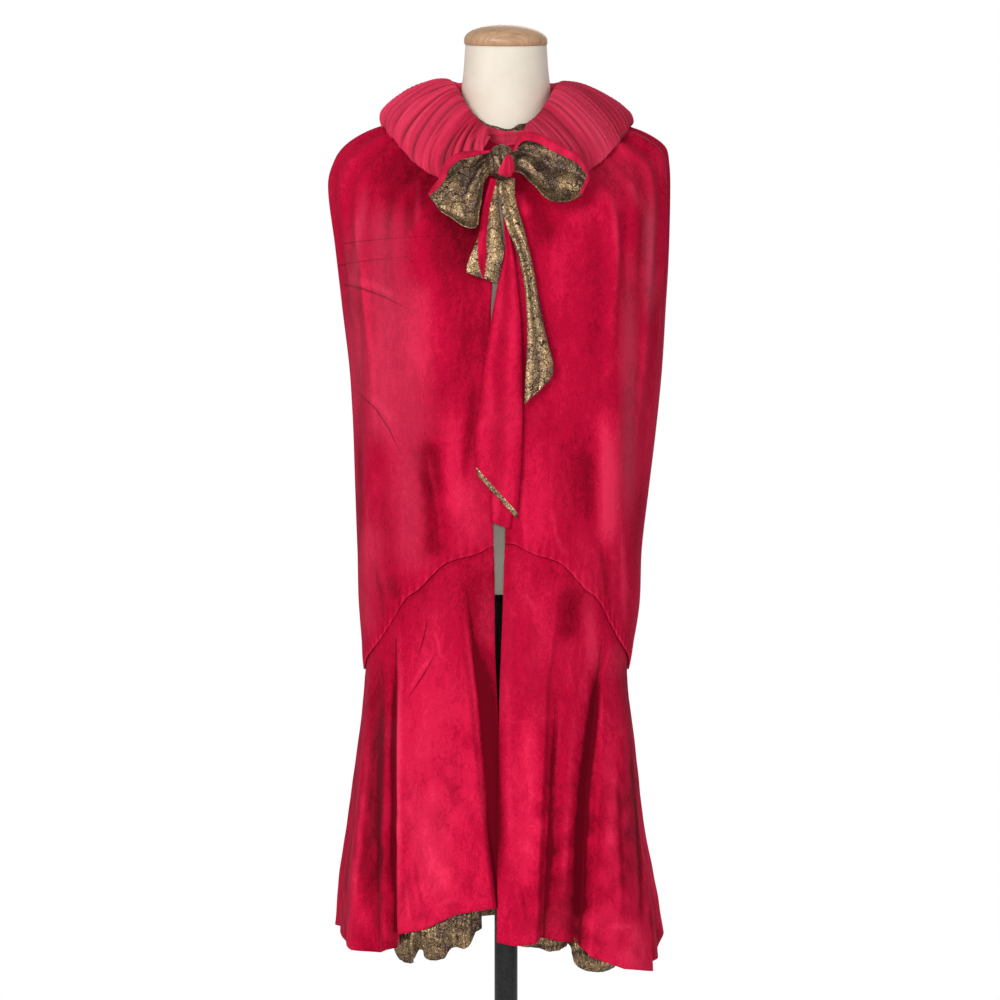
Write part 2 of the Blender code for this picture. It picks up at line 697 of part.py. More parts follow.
def build_ruffles(collection):
    pieces = (
        ("hem_ruffle_left", ruffle_columns(SKIRT_LEFT, RUFFLE_LEFT, RUFFLE_LEFT_WAVES)),
        ("hem_ruffle_right", ruffle_columns(SKIRT_RIGHT, RUFFLE_RIGHT, RUFFLE_RIGHT_WAVES)),
    )
    for name, columns in pieces:
        wall_from_columns(collection, name, columns, TIE_WALL, LINING)


def collar_point(angle, row):
    x, y = round_point(angle, row.left, row.right, row.front, row.back, 1.0)
    return Vector((x, y, tilted_height(angle, row.side_height, row.front_height, row.back_height)))


def collar_normal(angle, index):
    row = COLLAR[index]
    along = collar_point(angle + ANGLE_STEP, row) - collar_point(angle - ANGLE_STEP, row)
    after = collar_point(angle, COLLAR[min(index + 1, len(COLLAR) - 1)])
    before = collar_point(angle, COLLAR[max(index - 1, 0)])
    return (after - before).cross(along).normalized()


def build_collar(collection):
    """Pleats stand on the show side of the wall, over a plain inside with half the columns."""
    rows = len(COLLAR)
    show, plain = [], []
    for number in range(2 * COLLAR_PLEATS + 1):
        angle = blend(COLLAR_FRONT_ANGLE, 360.0 - COLLAR_FRONT_ANGLE, number / (2 * COLLAR_PLEATS))
        is_ridge = number % 2 == 1
        for index, row in enumerate(COLLAR):
            point = collar_point(angle, row)
            normal = collar_normal(angle, index)
            show.append(point + normal * row.rise * is_ridge)
            if not is_ridge:
                plain.append(point - normal * COLLAR_WALL)
    inside = len(show)
    faces = []
    for pleat in range(COLLAR_PLEATS):
        outer, inner = 2 * pleat * rows, inside + pleat * rows
        for top in range(rows - 1):
            for corner in (outer + top, outer + rows + top):
                faces.append((corner, corner + 1, corner + rows + 1, corner + rows))
            low = inner + top
            faces.append((low, low + rows, low + rows + 1, low + 1))
        faces.append((outer, outer + rows, outer + 2 * rows, inner + rows, inner))
        outer += rows - 1
        inner += rows - 1
        faces.append((inner, inner + rows, outer + 2 * rows, outer + rows, outer))
    last_outer, last_inner = 2 * COLLAR_PLEATS * rows, inside + COLLAR_PLEATS * rows
    for top in range(rows - 1):
        faces.append((top, inside + top, inside + top + 1, top + 1))
        outer, inner = last_outer + top, last_inner + top
        faces.append((outer, outer + 1, inner + 1, inner))
    item = add_mesh(collection, "collar", show + plain, faces, VELVET_COLLAR)
    triangulate = item.modifiers.new("flat_faces", "TRIANGULATE")
    triangulate.quad_method = "SHORTEST_DIAGONAL"


def build_neck_band(collection):
    columns = []
    for strip in range(BAND_STRIPS + 1):
        angle = blend(BAND_FRONT_ANGLE, 360.0 - BAND_FRONT_ANGLE, strip / BAND_STRIPS)
        x, y = round_point(angle, *(4 * (BAND_RADIUS,)), squareness=1.0)
        low = tilted_height(angle, YOKE[0].side_height, YOKE[0].front_height, YOKE[0].back_height)
        high = tilted_height(angle, BAND_SIDE_TOP, BAND_FRONT_TOP, BAND_SIDE_TOP)
        columns.append([Vector((x, y, high)), Vector((x, y, low + BAND_LIFT))])
    wall_from_columns(collection, "neck_band", columns, BAND_WALL, VELVET_COLLAR)


def loop_back(height):
    (high, high_y), (low, low_y) = LOOP_BACK_HIGH, LOOP_BACK_LOW
    return blend(low_y, high_y, (height - low) / (high - low))


def build_loop(collection, name, rows):
    columns = []
    for row in rows:
        column = []
        for place in SCOOP:
            x = blend(row.low_x, row.top_x, place.height)
            z = blend(row.low_z, row.top_z, place.height)
            column.append(Vector((x, loop_back(z) - row.depth * place.forward, z)))
        columns.append(column)
    wall_from_columns(collection, name, columns, TIE_WALL, LINING, offset=0.0)


def build_knot(collection):
    bpy.ops.mesh.primitive_uv_sphere_add(segments=20, ring_count=10, radius=1.0)
    knot = bpy.context.object
    knot.name = "knot"
    for linked in list(knot.users_collection):
        linked.objects.unlink(knot)
    collection.objects.link(knot)
    for vertex in knot.data.vertices:
        vertex.co = Vector(size * share for size, share in zip(KNOT_SIZE, vertex.co))
    knot.location = KNOT_CENTRE
    knot.data.shade_smooth()
    paint_object(knot, LINING)


def front_depth(x, height):
    """How far in front of the middle the cape's face lies at a place near the centre."""
    side = "left" if x < 0 else "right"
    power = SQUARENESS
    if height <= YOKE[-1].front_height:
        width = table_value(FALL, "height", height, side)
        depth = table_value(FALL, "height", height, "front")
    else:
        position = yoke_position(x, height)
        width = yoke_value(position, side)
        depth = yoke_value(position, "front")
        power = yoke_squareness(position)
    share = min(abs(x) / width, 1.0) ** (2.0 / power)
    return depth * (1.0 - share) ** (power / 2.0)


def build_tail(collection, name, rows, layer, paint):
    """A hanging end lies on the fronts, or on the layers between, by its layer number."""
    stand_off = LAY_GAP + TIE_WALL + layer * (TIE_WALL + LAY_GAP + max(TAIL_CURL))
    columns = []
    for index, curl in enumerate(TAIL_CURL):
        share = index / (len(TAIL_CURL) - 1)
        column = []
        for row in rows:
            x = blend(row.left_x, row.right_x, share)
            z = blend(row.left_z, row.right_z, share)
            lift = TAIL_LIFT * ease((z - TAIL_LIFT_END) / (TAIL_TOP - TAIL_LIFT_END))
            column.append(Vector((x, -front_depth(x, z) - stand_off - curl - lift, z)))
        columns.append(column)
    wall_from_columns(collection, name, columns, TIE_WALL, paint)


def build_bow(collection):
    build_knot(collection)
    build_loop(collection, "loop_left", LOOP_LEFT)
    build_loop(collection, "loop_right", LOOP_RIGHT)
    build_tail(collection, "tail_red_under", TAIL_UNDER, 0, VELVET)
    build_tail(collection, "tail_red", TAIL_RED, 1, VELVET)
    build_tail(collection, "tail_gold", TAIL_GOLD, 2, LINING)
    build_tail(collection, "tail_short", TAIL_SHORT, 2, LINING)


def form_shoulder_point(angle, index):
    """A point of the form just inside the cape's shoulder."""
    point = yoke_point(angle, index)
    across = yoke_point(angle + ANGLE_STEP, index) - yoke_point(angle - ANGLE_STEP, index)
    down = yoke_point(angle, index + 0.5) - yoke_point(angle, index - 0.5)
    inward = across.cross(down).normalized()
    return point + inward * (VELVET_WALL + FORM_CLEARANCE)


def tilted_neck_point(angle, row):
    x, y = round_point(angle, *(4 * (row.side,)), squareness=1.0)
    foot = FORM_NECK[-1].height
    lean = sin(radians(NECK_TILT)) * ease((row.height - foot) / (NECK_TOP - foot))
    return Vector((x, y, row.height + y * lean))


def neck_base_point(angle):
    x, y = round_point(angle, *(4 * (NECK_BASE_RADIUS,)), squareness=1.0)
    return Vector((x, y, yoke_point(angle, 0).z - NECK_BASE_DROP))


def trunk_point(angle, row):
    sizes = (row.side, row.side, row.front, row.back)
    x, y = round_point(angle, *sizes, squareness=TRUNK_SQUARENESS)
    return Vector((x, y, row.height))


def build_form(collection):
    """Neck, shoulders and trunk in one closed loft."""
    angles = [360.0 * index / FORM_SIDES for index in range(FORM_SIDES)]
    rings = [[tilted_neck_point(angle, row) for angle in angles] for row in FORM_NECK]
    rings.append([neck_base_point(angle) for angle in angles])
    for index in range(1, FORM_SHOULDER_ROWS + 1):
        rings.append([form_shoulder_point(angle, index) for angle in angles])
    rings += [[trunk_point(angle, row) for angle in angles] for row in FORM_TRUNK]
    points = [point for ring in rings for point in ring]
    faces = []
    for upper in range(len(rings) - 1):
        for side in range(FORM_SIDES):
            following = (side + 1) % FORM_SIDES
            top, low = upper * FORM_SIDES, (upper + 1) * FORM_SIDES
            faces.append((top + side, low + side, low + following, top + following))
    faces.append(tuple(range(FORM_SIDES)))
    bottom = (len(rings) - 1) * FORM_SIDES
    faces.append(tuple(bottom + side for side in reversed(range(FORM_SIDES))))
    item = add_mesh(collection, "form_torso", points, faces, CREAM)
    triangulate = item.modifiers.new("flat_faces", "TRIANGULATE")
    triangulate.quad_method = "SHORTEST_DIAGONAL"


def turned_piece(collection, name, profile, steps, paint):
    """A profile in the XZ plane turned about the Z axis, listed from the top down."""
    points = [(radius, 0.0, height) for radius, height in profile]
    mesh = bpy.data.meshes.new(name)
    mesh.from_pydata(points, [(index, index + 1) for index in range(len(points) - 1)], [])
    item = bpy.data.objects.new(name, mesh)
    collection.objects.link(item)
    paint_object(item, paint)
    screw = item.modifiers.new("turn", "SCREW")
    screw.steps = steps
    screw.render_steps = steps
    screw.use_merge_vertices = True
    screw.merge_threshold = 0.00001
    return item


def build_cap(collection):
    profile = [(0.0, CAP_SIDE + CAP_RISE)]
    arc_steps = 6
    for index in range(1, arc_steps + 1):
        turn = 0.5 * pi * index / arc_steps
        profile.append((CAP_RADIUS * sin(turn), CAP_SIDE + CAP_RISE * cos(turn)))
    profile.append((CAP_RADIUS, 0.0))
    profile.append((0.0, 0.0))
    cap = turned_piece(collection, "neck_cap", profile, 24, WOOD)
    cap.location = (0.0, 0.0, NECK_TOP + SEAM_GAP)
    cap.rotation_euler = (radians(NECK_TILT), 0.0, 0.0)


def build_stand(collection):
    base_profile = [
        (0.0, BASE_HEIGHT),
        (BASE_RADIUS - BASE_EDGE, BASE_HEIGHT),
        (BASE_RADIUS, BASE_HEIGHT - BASE_EDGE),
        (BASE_RADIUS, 0.0),
        (0.0, 0.0),
    ]
    turned_piece(collection, "form_base", base_profile, 48, METAL)
    pole_bottom = BASE_HEIGHT + SEAM_GAP
    pole_top = TORSO_BOTTOM - SEAM_GAP
    pole_profile = [(0.0, pole_top), (POLE_RADIUS, pole_top), (POLE_RADIUS, pole_bottom), (0.0, pole_bottom)]
    turned_piece(collection, "form_pole", pole_profile, 24, METAL)


def main():
    clear_scene()
    collection = make_collection()
    build_form(collection)
    build_cap(collection)
    build_stand(collection)
    build_upper_cape(collection)
    build_skirt(collection)
    build_ruffles(collection)
    build_neck_band(collection)
    build_collar(collection)
    build_bow(collection)


main()
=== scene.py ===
from math import cos, pi, radians, sin

import bpy
import numpy as np
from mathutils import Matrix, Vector


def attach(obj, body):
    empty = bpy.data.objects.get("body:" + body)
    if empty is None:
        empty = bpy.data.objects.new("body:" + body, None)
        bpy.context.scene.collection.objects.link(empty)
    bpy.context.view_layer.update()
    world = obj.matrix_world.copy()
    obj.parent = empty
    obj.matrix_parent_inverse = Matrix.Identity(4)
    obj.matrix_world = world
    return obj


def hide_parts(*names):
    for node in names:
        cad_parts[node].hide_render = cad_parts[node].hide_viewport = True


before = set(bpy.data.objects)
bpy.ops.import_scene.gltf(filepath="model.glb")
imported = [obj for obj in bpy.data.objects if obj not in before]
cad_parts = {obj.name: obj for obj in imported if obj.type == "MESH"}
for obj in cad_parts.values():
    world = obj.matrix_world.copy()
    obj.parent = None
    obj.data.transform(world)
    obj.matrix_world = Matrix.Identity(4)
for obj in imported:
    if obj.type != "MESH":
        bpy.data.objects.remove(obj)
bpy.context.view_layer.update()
print("stage: frame loaded")


# curves and surfaces

def smoothCurve(places, values, at):
    # a smooth curve through a table's points, for one or many columns of values
    places, values = np.asarray(places, float), np.asarray(values, float)
    order = np.argsort(places)
    places, values = places[order], values[order]
    after = np.minimum(np.arange(len(places)) + 1, len(places) - 1)
    before = np.maximum(np.arange(len(places)) - 1, 0)
    wide = (slice(None),) + (None,) * (values.ndim - 1)
    slopes = (values[after] - values[before]) / (places[after] - places[before])[wide]
    at = np.clip(np.asarray(at, float), places[0], places[-1])
    low = np.clip(np.searchsorted(places, at, side="right") - 1, 0, len(places) - 2)
    span = places[low + 1] - places[low]
    share = (at - places[low]) / span
    if values.ndim > 1:
        span, share = span[..., None], share[..., None]
    start = values[low] * (1 + 2 * share) * (1 - share) ** 2
    start = start + slopes[low] * span * share * (1 - share) ** 2
    end = values[low + 1] * (3 - 2 * share) * share ** 2
    return start + end + slopes[low + 1] * span * (share - 1) * share ** 2


def mixed(first, second, share):
    return first + (second - first) * share


def eased(share):
    share = np.clip(share, 0, 1)
    return share * share * (3 - 2 * share)


def roundPlace(angle, left, right, front, back, squareness):
    # a point of a section that is a little squarer than an ellipse
    across, ahead = np.sin(np.radians(angle)), np.cos(np.radians(angle))
    x = np.where(across > 0, right, left) * np.sign(across) * np.abs(across) ** squareness
    y = -np.where(ahead > 0, front, back) * np.sign(ahead) * np.abs(ahead) ** squareness
    return x, y


def circlePlace(angle, radius):
    return roundPlace(angle, radius, radius, radius, radius, 1.0)


def tiltedHeight(angle, side, front, back):
    ahead = np.cos(np.radians(angle))
    return side + (np.where(ahead > 0, front, back) - side) * ahead * ahead


def gridNormals(points):
    down, across = np.gradient(points, axis=1), np.gradient(points, axis=0)
    normals = np.cross(down, across)
    return normals / np.maximum(np.linalg.norm(normals, axis=2, keepdims=True), 1e-12)


def resampled(control, count):
    # columns of a few points each become columns of many, evenly spaced down the cloth
    steps = np.linalg.norm(np.diff(control[..., :3], axis=1), axis=2).mean(axis=0)
    places = np.concatenate([[0], np.cumsum(steps)])
    flat = control.transpose(1, 0, 2).reshape(len(places), -1)
    fine = smoothCurve(places, flat, np.linspace(0, places[-1], count))
    return fine.reshape(count, control.shape[0], -1).transpose(1, 0, 2)


def ripple(x, z, size, seed):
    # soft uneven waves, the same on every run
    total = np.zeros(np.broadcast(x, z).shape)
    chance = np.random.default_rng(seed)
    for turn, phase, stretch in chance.random((9, 3)):
        way = 2 * pi * turn
        total += np.sin((x * cos(way) + z * sin(way)) / size * (0.6 + stretch) + 2 * pi * phase)
    return total / 4.5


broadStroke = 15  # mm; a stroke wider than this keeps its strength to its ends


def strokeFields(x, z, strokes):
    # each stroke: half width and rise in mm, change of painted light and shade, change of painted sheen,
    # points along it
    rises, lights, paintedSheens = (np.zeros(x.shape) for _ in range(3))
    for halfWidth, rise, light, paintedSheen, *line in strokes:
        line = np.array(line)
        lengths = np.linalg.norm(np.diff(line, axis=0), axis=1)
        passed = np.concatenate([[0], np.cumsum(lengths)])
        best = np.full(x.shape, 9.0)
        share = np.zeros(x.shape)
        for (x0, z0), (x1, z1), length, before in zip(line, line[1:], lengths, passed):
            along = np.clip(((x - x0) * (x1 - x0) + (z - z0) * (z1 - z0)) / length ** 2, 0, 1)
            away = np.hypot(x - x0 - along * (x1 - x0), z - z0 - along * (z1 - z0))
            nearer = away < best
            best = np.where(nearer, away, best)
            share = np.where(nearer, (before + along * length) / passed[-1], share)
        soft = np.exp(-(best / (0.001 * halfWidth)) ** 2)
        faded = soft * eased(share / 0.3) * eased((1 - share) / 0.3)
        shown = soft if halfWidth > broadStroke else faded
        rises += 0.001 * rise * faded
        lights += light * shown
        paintedSheens += paintedSheen * shown
    return rises, lights, paintedSheens


def insideOutline(x, z, outline):
    inside = np.zeros(np.broadcast(x, z).shape, bool)
    for (x0, z0), (x1, z1) in zip(outline, outline[1:] + outline[:1]):
        if z0 != z1:
            inside ^= ((z0 > z) != (z1 > z)) & (x < x0 + (x1 - x0) * (z - z0) / (z1 - z0))
    return inside


def linked(name, data):
    piece = bpy.data.objects.new(name, data)
    bpy.context.scene.collection.objects.link(piece)
    return piece


def rideAs(piece, node):
    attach(piece, "root")
    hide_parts(node)


def sheetMesh(name, node, points, materials, wall, offset=-1.0, rim=0, second=None,
              light=None, paintedSheen=None, glow=None, wrinkle=None):
    # a grid of points becomes cloth with a second side; the first material is its show side
    columns, rows = points.shape[:2]
    index = np.arange(columns * rows).reshape(columns, rows)
    corners = (index[:-1, :-1], index[:-1, 1:], index[1:, 1:], index[1:, :-1])
    quads = np.stack(corners, axis=-1).reshape(-1, 4)
    mesh = bpy.data.meshes.new(name)
    mesh.from_pydata(points.reshape(-1, 3).tolist(), [], quads.tolist())
    mesh.shade_smooth()
    for material in materials:
        mesh.materials.append(material)
    # fields for the materials: painted light and shade of the velvet, painted sheen, painted light and
    # shade of the lining, strength of painted shade in fine wrinkles
    fields = {"pileLight": light, "paintedPileSheen": paintedSheen, "liningLight": glow, "paintedWrinkleShade": wrinkle}
    for key, field in fields.items():
        if field is not None:
            values = np.broadcast_to(field, (columns, rows)).astype(np.float32)
            mesh.attributes.new(key, "FLOAT", "POINT").data.foreach_set("value", values.ravel())
    if second is not None:  # these faces are cut from the second material
        mesh.polygons.foreach_set("material_index", second[:-1, :-1].ravel().astype(np.int32))
    piece = linked(name, mesh)
    thicken = piece.modifiers.new("wall", "SOLIDIFY")
    thicken.thickness = wall
    thicken.offset = offset
    thicken.material_offset = len(materials) - 1
    thicken.material_offset_rim = rim
    rideAs(piece, node)
    return piece


def turnedMesh(name, profile, sides, material):
    # a profile of radius and height, from the top down, turned about the upright axis
    points, faces = [], []
    for radius, height in profile:
        for side in range(sides):
            turn = 2 * pi * side / sides
            points.append((radius * sin(turn), -radius * cos(turn), height))
    for ring in range(len(profile) - 1):
        for side in range(sides):
            top, low, after = ring * sides, (ring + 1) * sides, (side + 1) % sides
            faces.append((top + side, low + side, low + after, top + after))
    faces.append(tuple(range(sides)))
    faces.append(tuple(reversed(range((len(profile) - 1) * sides, len(profile) * sides))))
    mesh = bpy.data.meshes.new(name)
    mesh.from_pydata(points, [], faces)
    mesh.shade_smooth()
    mesh.materials.append(material)
    return linked(name, mesh)


# effects shared by the materials

def newGroup(name, inputs, outputs):
    group = bpy.data.node_groups.new(name, "ShaderNodeTree")
    for key, value in inputs.items():
        group.interface.new_socket(key, in_out="INPUT", socket_type="NodeSocketFloat").default_value = value
    for key in outputs:
        group.interface.new_socket(key, in_out="OUTPUT", socket_type="NodeSocketFloat")
    return group, group.nodes.new("NodeGroupInput"), group.nodes.new("NodeGroupOutput")


def addNode(tree, kind, links=None, **settings):
    # a node with its settings; values for sockets and links into it go in one table
    node = tree.nodes.new(kind)
    for key, value in settings.items():
        setattr(node, key, value)
    for key, value in (links or {}).items():
        if isinstance(value, bpy.types.NodeSocket):
            tree.links.new(value, node.inputs[key])
        else:
            node.inputs[key].default_value = value
    return node


def addMath(tree, operation, first, second):
    return addNode(tree, "ShaderNodeMath", {0: first, 1: second}, operation=operation).outputs[0]


def times(tree, first, second):
    return addMath(tree, "MULTIPLY", first, second)


def plus(tree, first, second):
    return addMath(tree, "ADD", first, second)


def addVectorMath(tree, operation, links):
    return addNode(tree, "ShaderNodeVectorMath", links, operation=operation).outputs


def addRange(tree, value, fromLow, fromHigh, toLow=0.0, toHigh=1.0):
    links = {"Value": value, "From Min": fromLow, "From Max": fromHigh, "To Min": toLow, "To Max": toHigh}
    return addNode(tree, "ShaderNodeMapRange", links).outputs["Result"]


def addMix(tree, share, first, second):
    return addNode(tree, "ShaderNodeMix", {0: share, 6: first, 7: second}, data_type="RGBA").outputs[2]


def addNoise(tree, place, scale, detail, roughness=0.5, distortion=0.0):
    return addNode(tree, "ShaderNodeTexNoise", {
        "Vector": place, "Scale": scale, "Detail": detail, "Roughness": roughness,
        "Distortion": distortion}).outputs


def stretchedPlace(tree, scale):
    place = tree.nodes.new("ShaderNodeTexCoord").outputs["Object"]
    return addNode(tree, "ShaderNodeMapping", {"Vector": place, "Scale": scale}).outputs["Vector"]


def makePileGroup():
    # pressed and brushed pile: broad patches, upright streaks, crushed spots, fine tips and bent lines
    group, _, out = newGroup("velvetPile", {}, ("Patches", "Streaks", "Crush", "Tips", "Wrinkles"))
    broad = stretchedPlace(group, (1.0, 1.0, 0.55))
    noises = {
        "Patches": addNoise(group, broad, 11.0, 5.0, 0.62, 0.8),
        "Streaks": addNoise(group, stretchedPlace(group, (1.0, 1.0, 0.10)), 85.0, 6.0, 0.6, 0.4),
        "Crush": addNoise(group, stretchedPlace(group, (1.0, 1.0, 0.50)), 95.0, 6.0, 0.66, 1.6),
        "Tips": addNoise(group, stretchedPlace(group, (1.0, 1.0, 0.6)), 620.0, 3.0)}
    for key, noise in noises.items():
        group.links.new(noise["Fac"], out.inputs[key])
    bent = addNoise(group, broad, 42.0, 4.0, 0.55, 1.2)["Fac"]
    fromMiddle = addMath(group, "ABSOLUTE", addMath(group, "SUBTRACT", bent, 0.5), 0.0)
    line = addRange(group, fromMiddle, 0.045, 0.0)  # 1 along each fine line
    group.links.new(line, out.inputs["Wrinkles"])
    return group


# places along each pressed crease of the front, painted darker in the velvet: x, z and half width in mm
creaseLines = [
    [(-0.214, 1.219, 0.3), (-0.181, 1.208, 1.9), (-0.154, 1.197, 1.6), (-0.126, 1.182, 0.2)],
    [(-0.192, 1.080, 0.3), (-0.166, 1.056, 1.7), (-0.149, 1.031, 1.8), (-0.136, 1.003, 0.2)],
    [(-0.213, 1.242, 1.0), (-0.120, 1.247, 0.1)],
    [(-0.209, 1.268, 0.8), (-0.083, 1.273, 0.1)],
    [(-0.099, 0.790, 0.3), (-0.104, 0.766, 1.4), (-0.112, 0.742, 0.2)],
    [(-0.088, 0.748, 0.3), (-0.104, 0.720, 1.5), (-0.124, 0.690, 0.2)],
    [(-0.1395, 0.765, 1.2), (-0.1385, 0.400, 2.6)],
    [(-0.050, 0.827, 0.3), (-0.036, 0.720, 2.0), (-0.019, 0.560, 2.6), (-0.011, 0.434, 2.0)],
    [(0.062, 0.690, 0.3), (0.046, 0.385, 2.2)],
    [(0.121, 0.765, 0.3), (0.100, 0.580, 3.0), (0.091, 0.387, 2.6)],
]


def makeCreaseGroup():
    # painted shade along pressed creases: lines that taper at both ends, on the front only
    group, given, out = newGroup("pressedCreases", {"Width": 1.0}, ("Line",))
    place = addNode(group, "ShaderNodeSeparateXYZ", {
        0: group.nodes.new("ShaderNodeTexCoord").outputs["Object"]}).outputs
    flat = addNode(group, "ShaderNodeCombineXYZ", {"X": place["X"], "Z": place["Z"]}).outputs[0]
    total = None
    for crease in creaseLines:
        for (x0, z0, wide0), (x1, z1, wide1) in zip(crease, crease[1:]):
            way = Vector((x1 - x0, 0.0, z1 - z0))
            passed = addVectorMath(group, "SUBTRACT", {0: flat, 1: (x0, 0.0, z0)})["Vector"]
            along = addVectorMath(group, "DOT_PRODUCT", {0: passed, 1: way / way.length_squared})["Value"]
            share = addRange(group, along, 0.0, 1.0)
            nearest = addVectorMath(group, "SCALE", {0: way, "Scale": share})["Vector"]
            away = addVectorMath(group, "DISTANCE", {0: passed, 1: nearest})["Value"]
            width = addRange(group, share, 0.0, 1.0, 0.001 * wide0, 0.001 * wide1)
            width = times(group, width, given.outputs["Width"])
            line = addRange(group, away, width, 0.0)
            total = line if total is None else addMath(group, "MAXIMUM", total, line)
    front = addRange(group, place["Y"], 0.0, -0.02)
    group.links.new(times(group, total, front), out.inputs["Line"])
    return group


def makeNetGroup():
    # a fine dark net over metal cloth: uneven cells, small painted glints
    group, given, out = newGroup(
        "laceNet", {"Cell scale": 190.0, "Line": 0.16}, ("Net", "Glints", "Clouds"))
    place = stretchedPlace(group, (1.0, 1.0, 1.0))
    warp = addNoise(group, place, 60.0, 3.0)["Color"]
    moved = addVectorMath(group, "SCALE", {0: warp, "Scale": 0.016})["Vector"]
    bent = addVectorMath(group, "ADD", {0: place, 1: moved})["Vector"]
    cells = addNode(group, "ShaderNodeTexVoronoi", {
        "Vector": bent, "Scale": given.outputs["Cell scale"]}, feature="DISTANCE_TO_EDGE")
    line = addMath(group, "LESS_THAN", cells.outputs["Distance"], given.outputs["Line"])
    group.links.new(line, out.inputs["Net"])
    group.links.new(addNoise(group, place, 520.0, 4.0)["Fac"], out.inputs["Glints"])
    group.links.new(addNoise(group, place, 55.0, 5.0)["Fac"], out.inputs["Clouds"])
    return group


def makeWeaveGroup():
    # plain weave of the form's jersey cover
    group, given, out = newGroup("plainWeave", {"Thread scale": 1400.0}, ("Threads", "Slubs"))
    place = stretchedPlace(group, (1.0, 1.0, 1.0))
    around, upright = (addNode(group, "ShaderNodeTexWave", {
        "Vector": place, "Scale": given.outputs["Thread scale"], "Distortion": 0.6},
        bands_direction=way).outputs["Fac"] for way in "XZ")
    group.links.new(times(group, around, upright), out.inputs["Threads"])
    group.links.new(addNoise(group, place, 26.0, 6.0)["Fac"], out.inputs["Slubs"])
    return group


pileGroup, netGroup, weaveGroup = makePileGroup(), makeNetGroup(), makeWeaveGroup()
creaseGroup = makeCreaseGroup()


# materials

def newMaterial(name, roughness, metallic=0.0):
    material = bpy.data.materials.new(name)
    material.use_nodes = True
    shader = material.node_tree.nodes["Principled BSDF"]
    shader.inputs["Roughness"].default_value = roughness
    shader.inputs["Metallic"].default_value = metallic
    return material, material.node_tree, shader


def placeGroup(tree, group, **values):
    node = addNode(tree, "ShaderNodeGroup", node_tree=group)
    for key, value in values.items():
        node.inputs[key.replace("_", " ")].default_value = value
    return node.outputs


def addBump(tree, shader, height, strength, distance):
    bump = addNode(tree, "ShaderNodeBump", {"Height": height, "Strength": strength, "Distance": distance})
    tree.links.new(bump.outputs["Normal"], shader.inputs["Normal"])


velvetSettings = {
    # the velvet's colours from painted shade to painted highlight
    "stops": [(0.00, (0.130, 0.0004, 0.0070, 1.0)), (0.25, (0.275, 0.0010, 0.0165, 1.0)),
              (0.50, (0.455, 0.0024, 0.0320, 1.0)), (0.75, (0.630, 0.0080, 0.0520, 1.0)),
              (1.00, (0.790, 0.0200, 0.0800, 1.0))],
    # pink of the painted sheen
    "paintedSheen": (0.660, 0.110, 0.185, 1.0),
    "contrast": 0.70,
    # darkness of the painted shade along pressed creases
    "crease": 0.60,
    "roughness": 0.80,
    "sheen": 0.10,
    "sheenRoughness": 0.40,
    "sheenTint": (1.0, 0.14, 0.26, 1.0),
}
collarVelvetSettings = dict(velvetSettings, contrast=0.42, sheen=0.20, crease=0.0)


def fieldValue(tree, name):
    return addNode(tree, "ShaderNodeAttribute", attribute_name=name).outputs["Fac"]


def makeVelvet(name, settings):
    material, tree, shader = newMaterial(name, settings["roughness"])
    pile = placeGroup(tree, pileGroup)
    broad = addRange(tree, pile["Patches"], 0.30, 0.70)
    narrow = addRange(tree, pile["Streaks"], 0.28, 0.72)
    crushed = addRange(tree, pile["Crush"], 0.30, 0.70)
    grain = addRange(tree, pile["Tips"], 0.34, 0.66)
    soft = plus(tree, times(tree, broad, 0.32), times(tree, narrow, 0.16))
    fine = plus(tree, times(tree, crushed, 0.30), times(tree, grain, 0.22))
    half = settings["contrast"] / 2
    spread = addRange(tree, plus(tree, soft, fine), 0.0, 1.0, 0.5 - half, 0.5 + half)
    # painted light and shade from each piece's field
    lit = plus(tree, spread, fieldValue(tree, "pileLight"))
    # painted shade in fine wrinkles
    wrinkleShade = times(tree, pile["Wrinkles"], fieldValue(tree, "paintedWrinkleShade"))
    lit = addMath(tree, "SUBTRACT", lit, wrinkleShade)
    height = plus(tree, times(tree, pile["Tips"], 0.4), pile["Crush"])
    # painted shade along the pressed creases, which also dent the bump
    if settings["crease"]:
        crease = placeGroup(tree, creaseGroup)["Line"]
        lit = addMath(tree, "SUBTRACT", lit, times(tree, crease, settings["crease"]))
        height = addMath(tree, "SUBTRACT", height, crease)
    ramp = addNode(tree, "ShaderNodeValToRGB", {"Fac": lit})
    ramp.color_ramp.interpolation = "EASE"
    while len(ramp.color_ramp.elements) < len(settings["stops"]):
        ramp.color_ramp.elements.new(0.5)
    for element, (place, colour) in zip(ramp.color_ramp.elements, settings["stops"]):
        element.position, element.color = place, colour
    # painted sheen: random patches and each piece's field mix pink into the red
    sheenPatches = addRange(tree, pile["Patches"], 0.35, 0.75, -0.02, 0.05)
    paintedSheen = addRange(tree, plus(tree, sheenPatches, fieldValue(tree, "paintedPileSheen")), 0.0, 1.0)
    colour = addMix(tree, paintedSheen, ramp.outputs["Color"], settings["paintedSheen"])
    tree.links.new(colour, shader.inputs["Base Color"])
    shader.inputs["Sheen Weight"].default_value = settings["sheen"]
    shader.inputs["Sheen Roughness"].default_value = settings["sheenRoughness"]
    shader.inputs["Sheen Tint"].default_value = settings["sheenTint"]
    shader.inputs["Specular IOR Level"].default_value = 0.04
    addBump(tree, shader, height, 0.35, 0.0016)
    return material


liningSettings = {
    # the metal's own gold, its painted highlight and painted shadow, and the black net
    "gold": (0.375, 0.228, 0.112, 1.0),
    "bright": (0.900, 0.690, 0.370, 1.0),
    "shadow": (0.098, 0.052, 0.040, 1.0),
    "net": (0.012, 0.008, 0.007, 1.0),
}


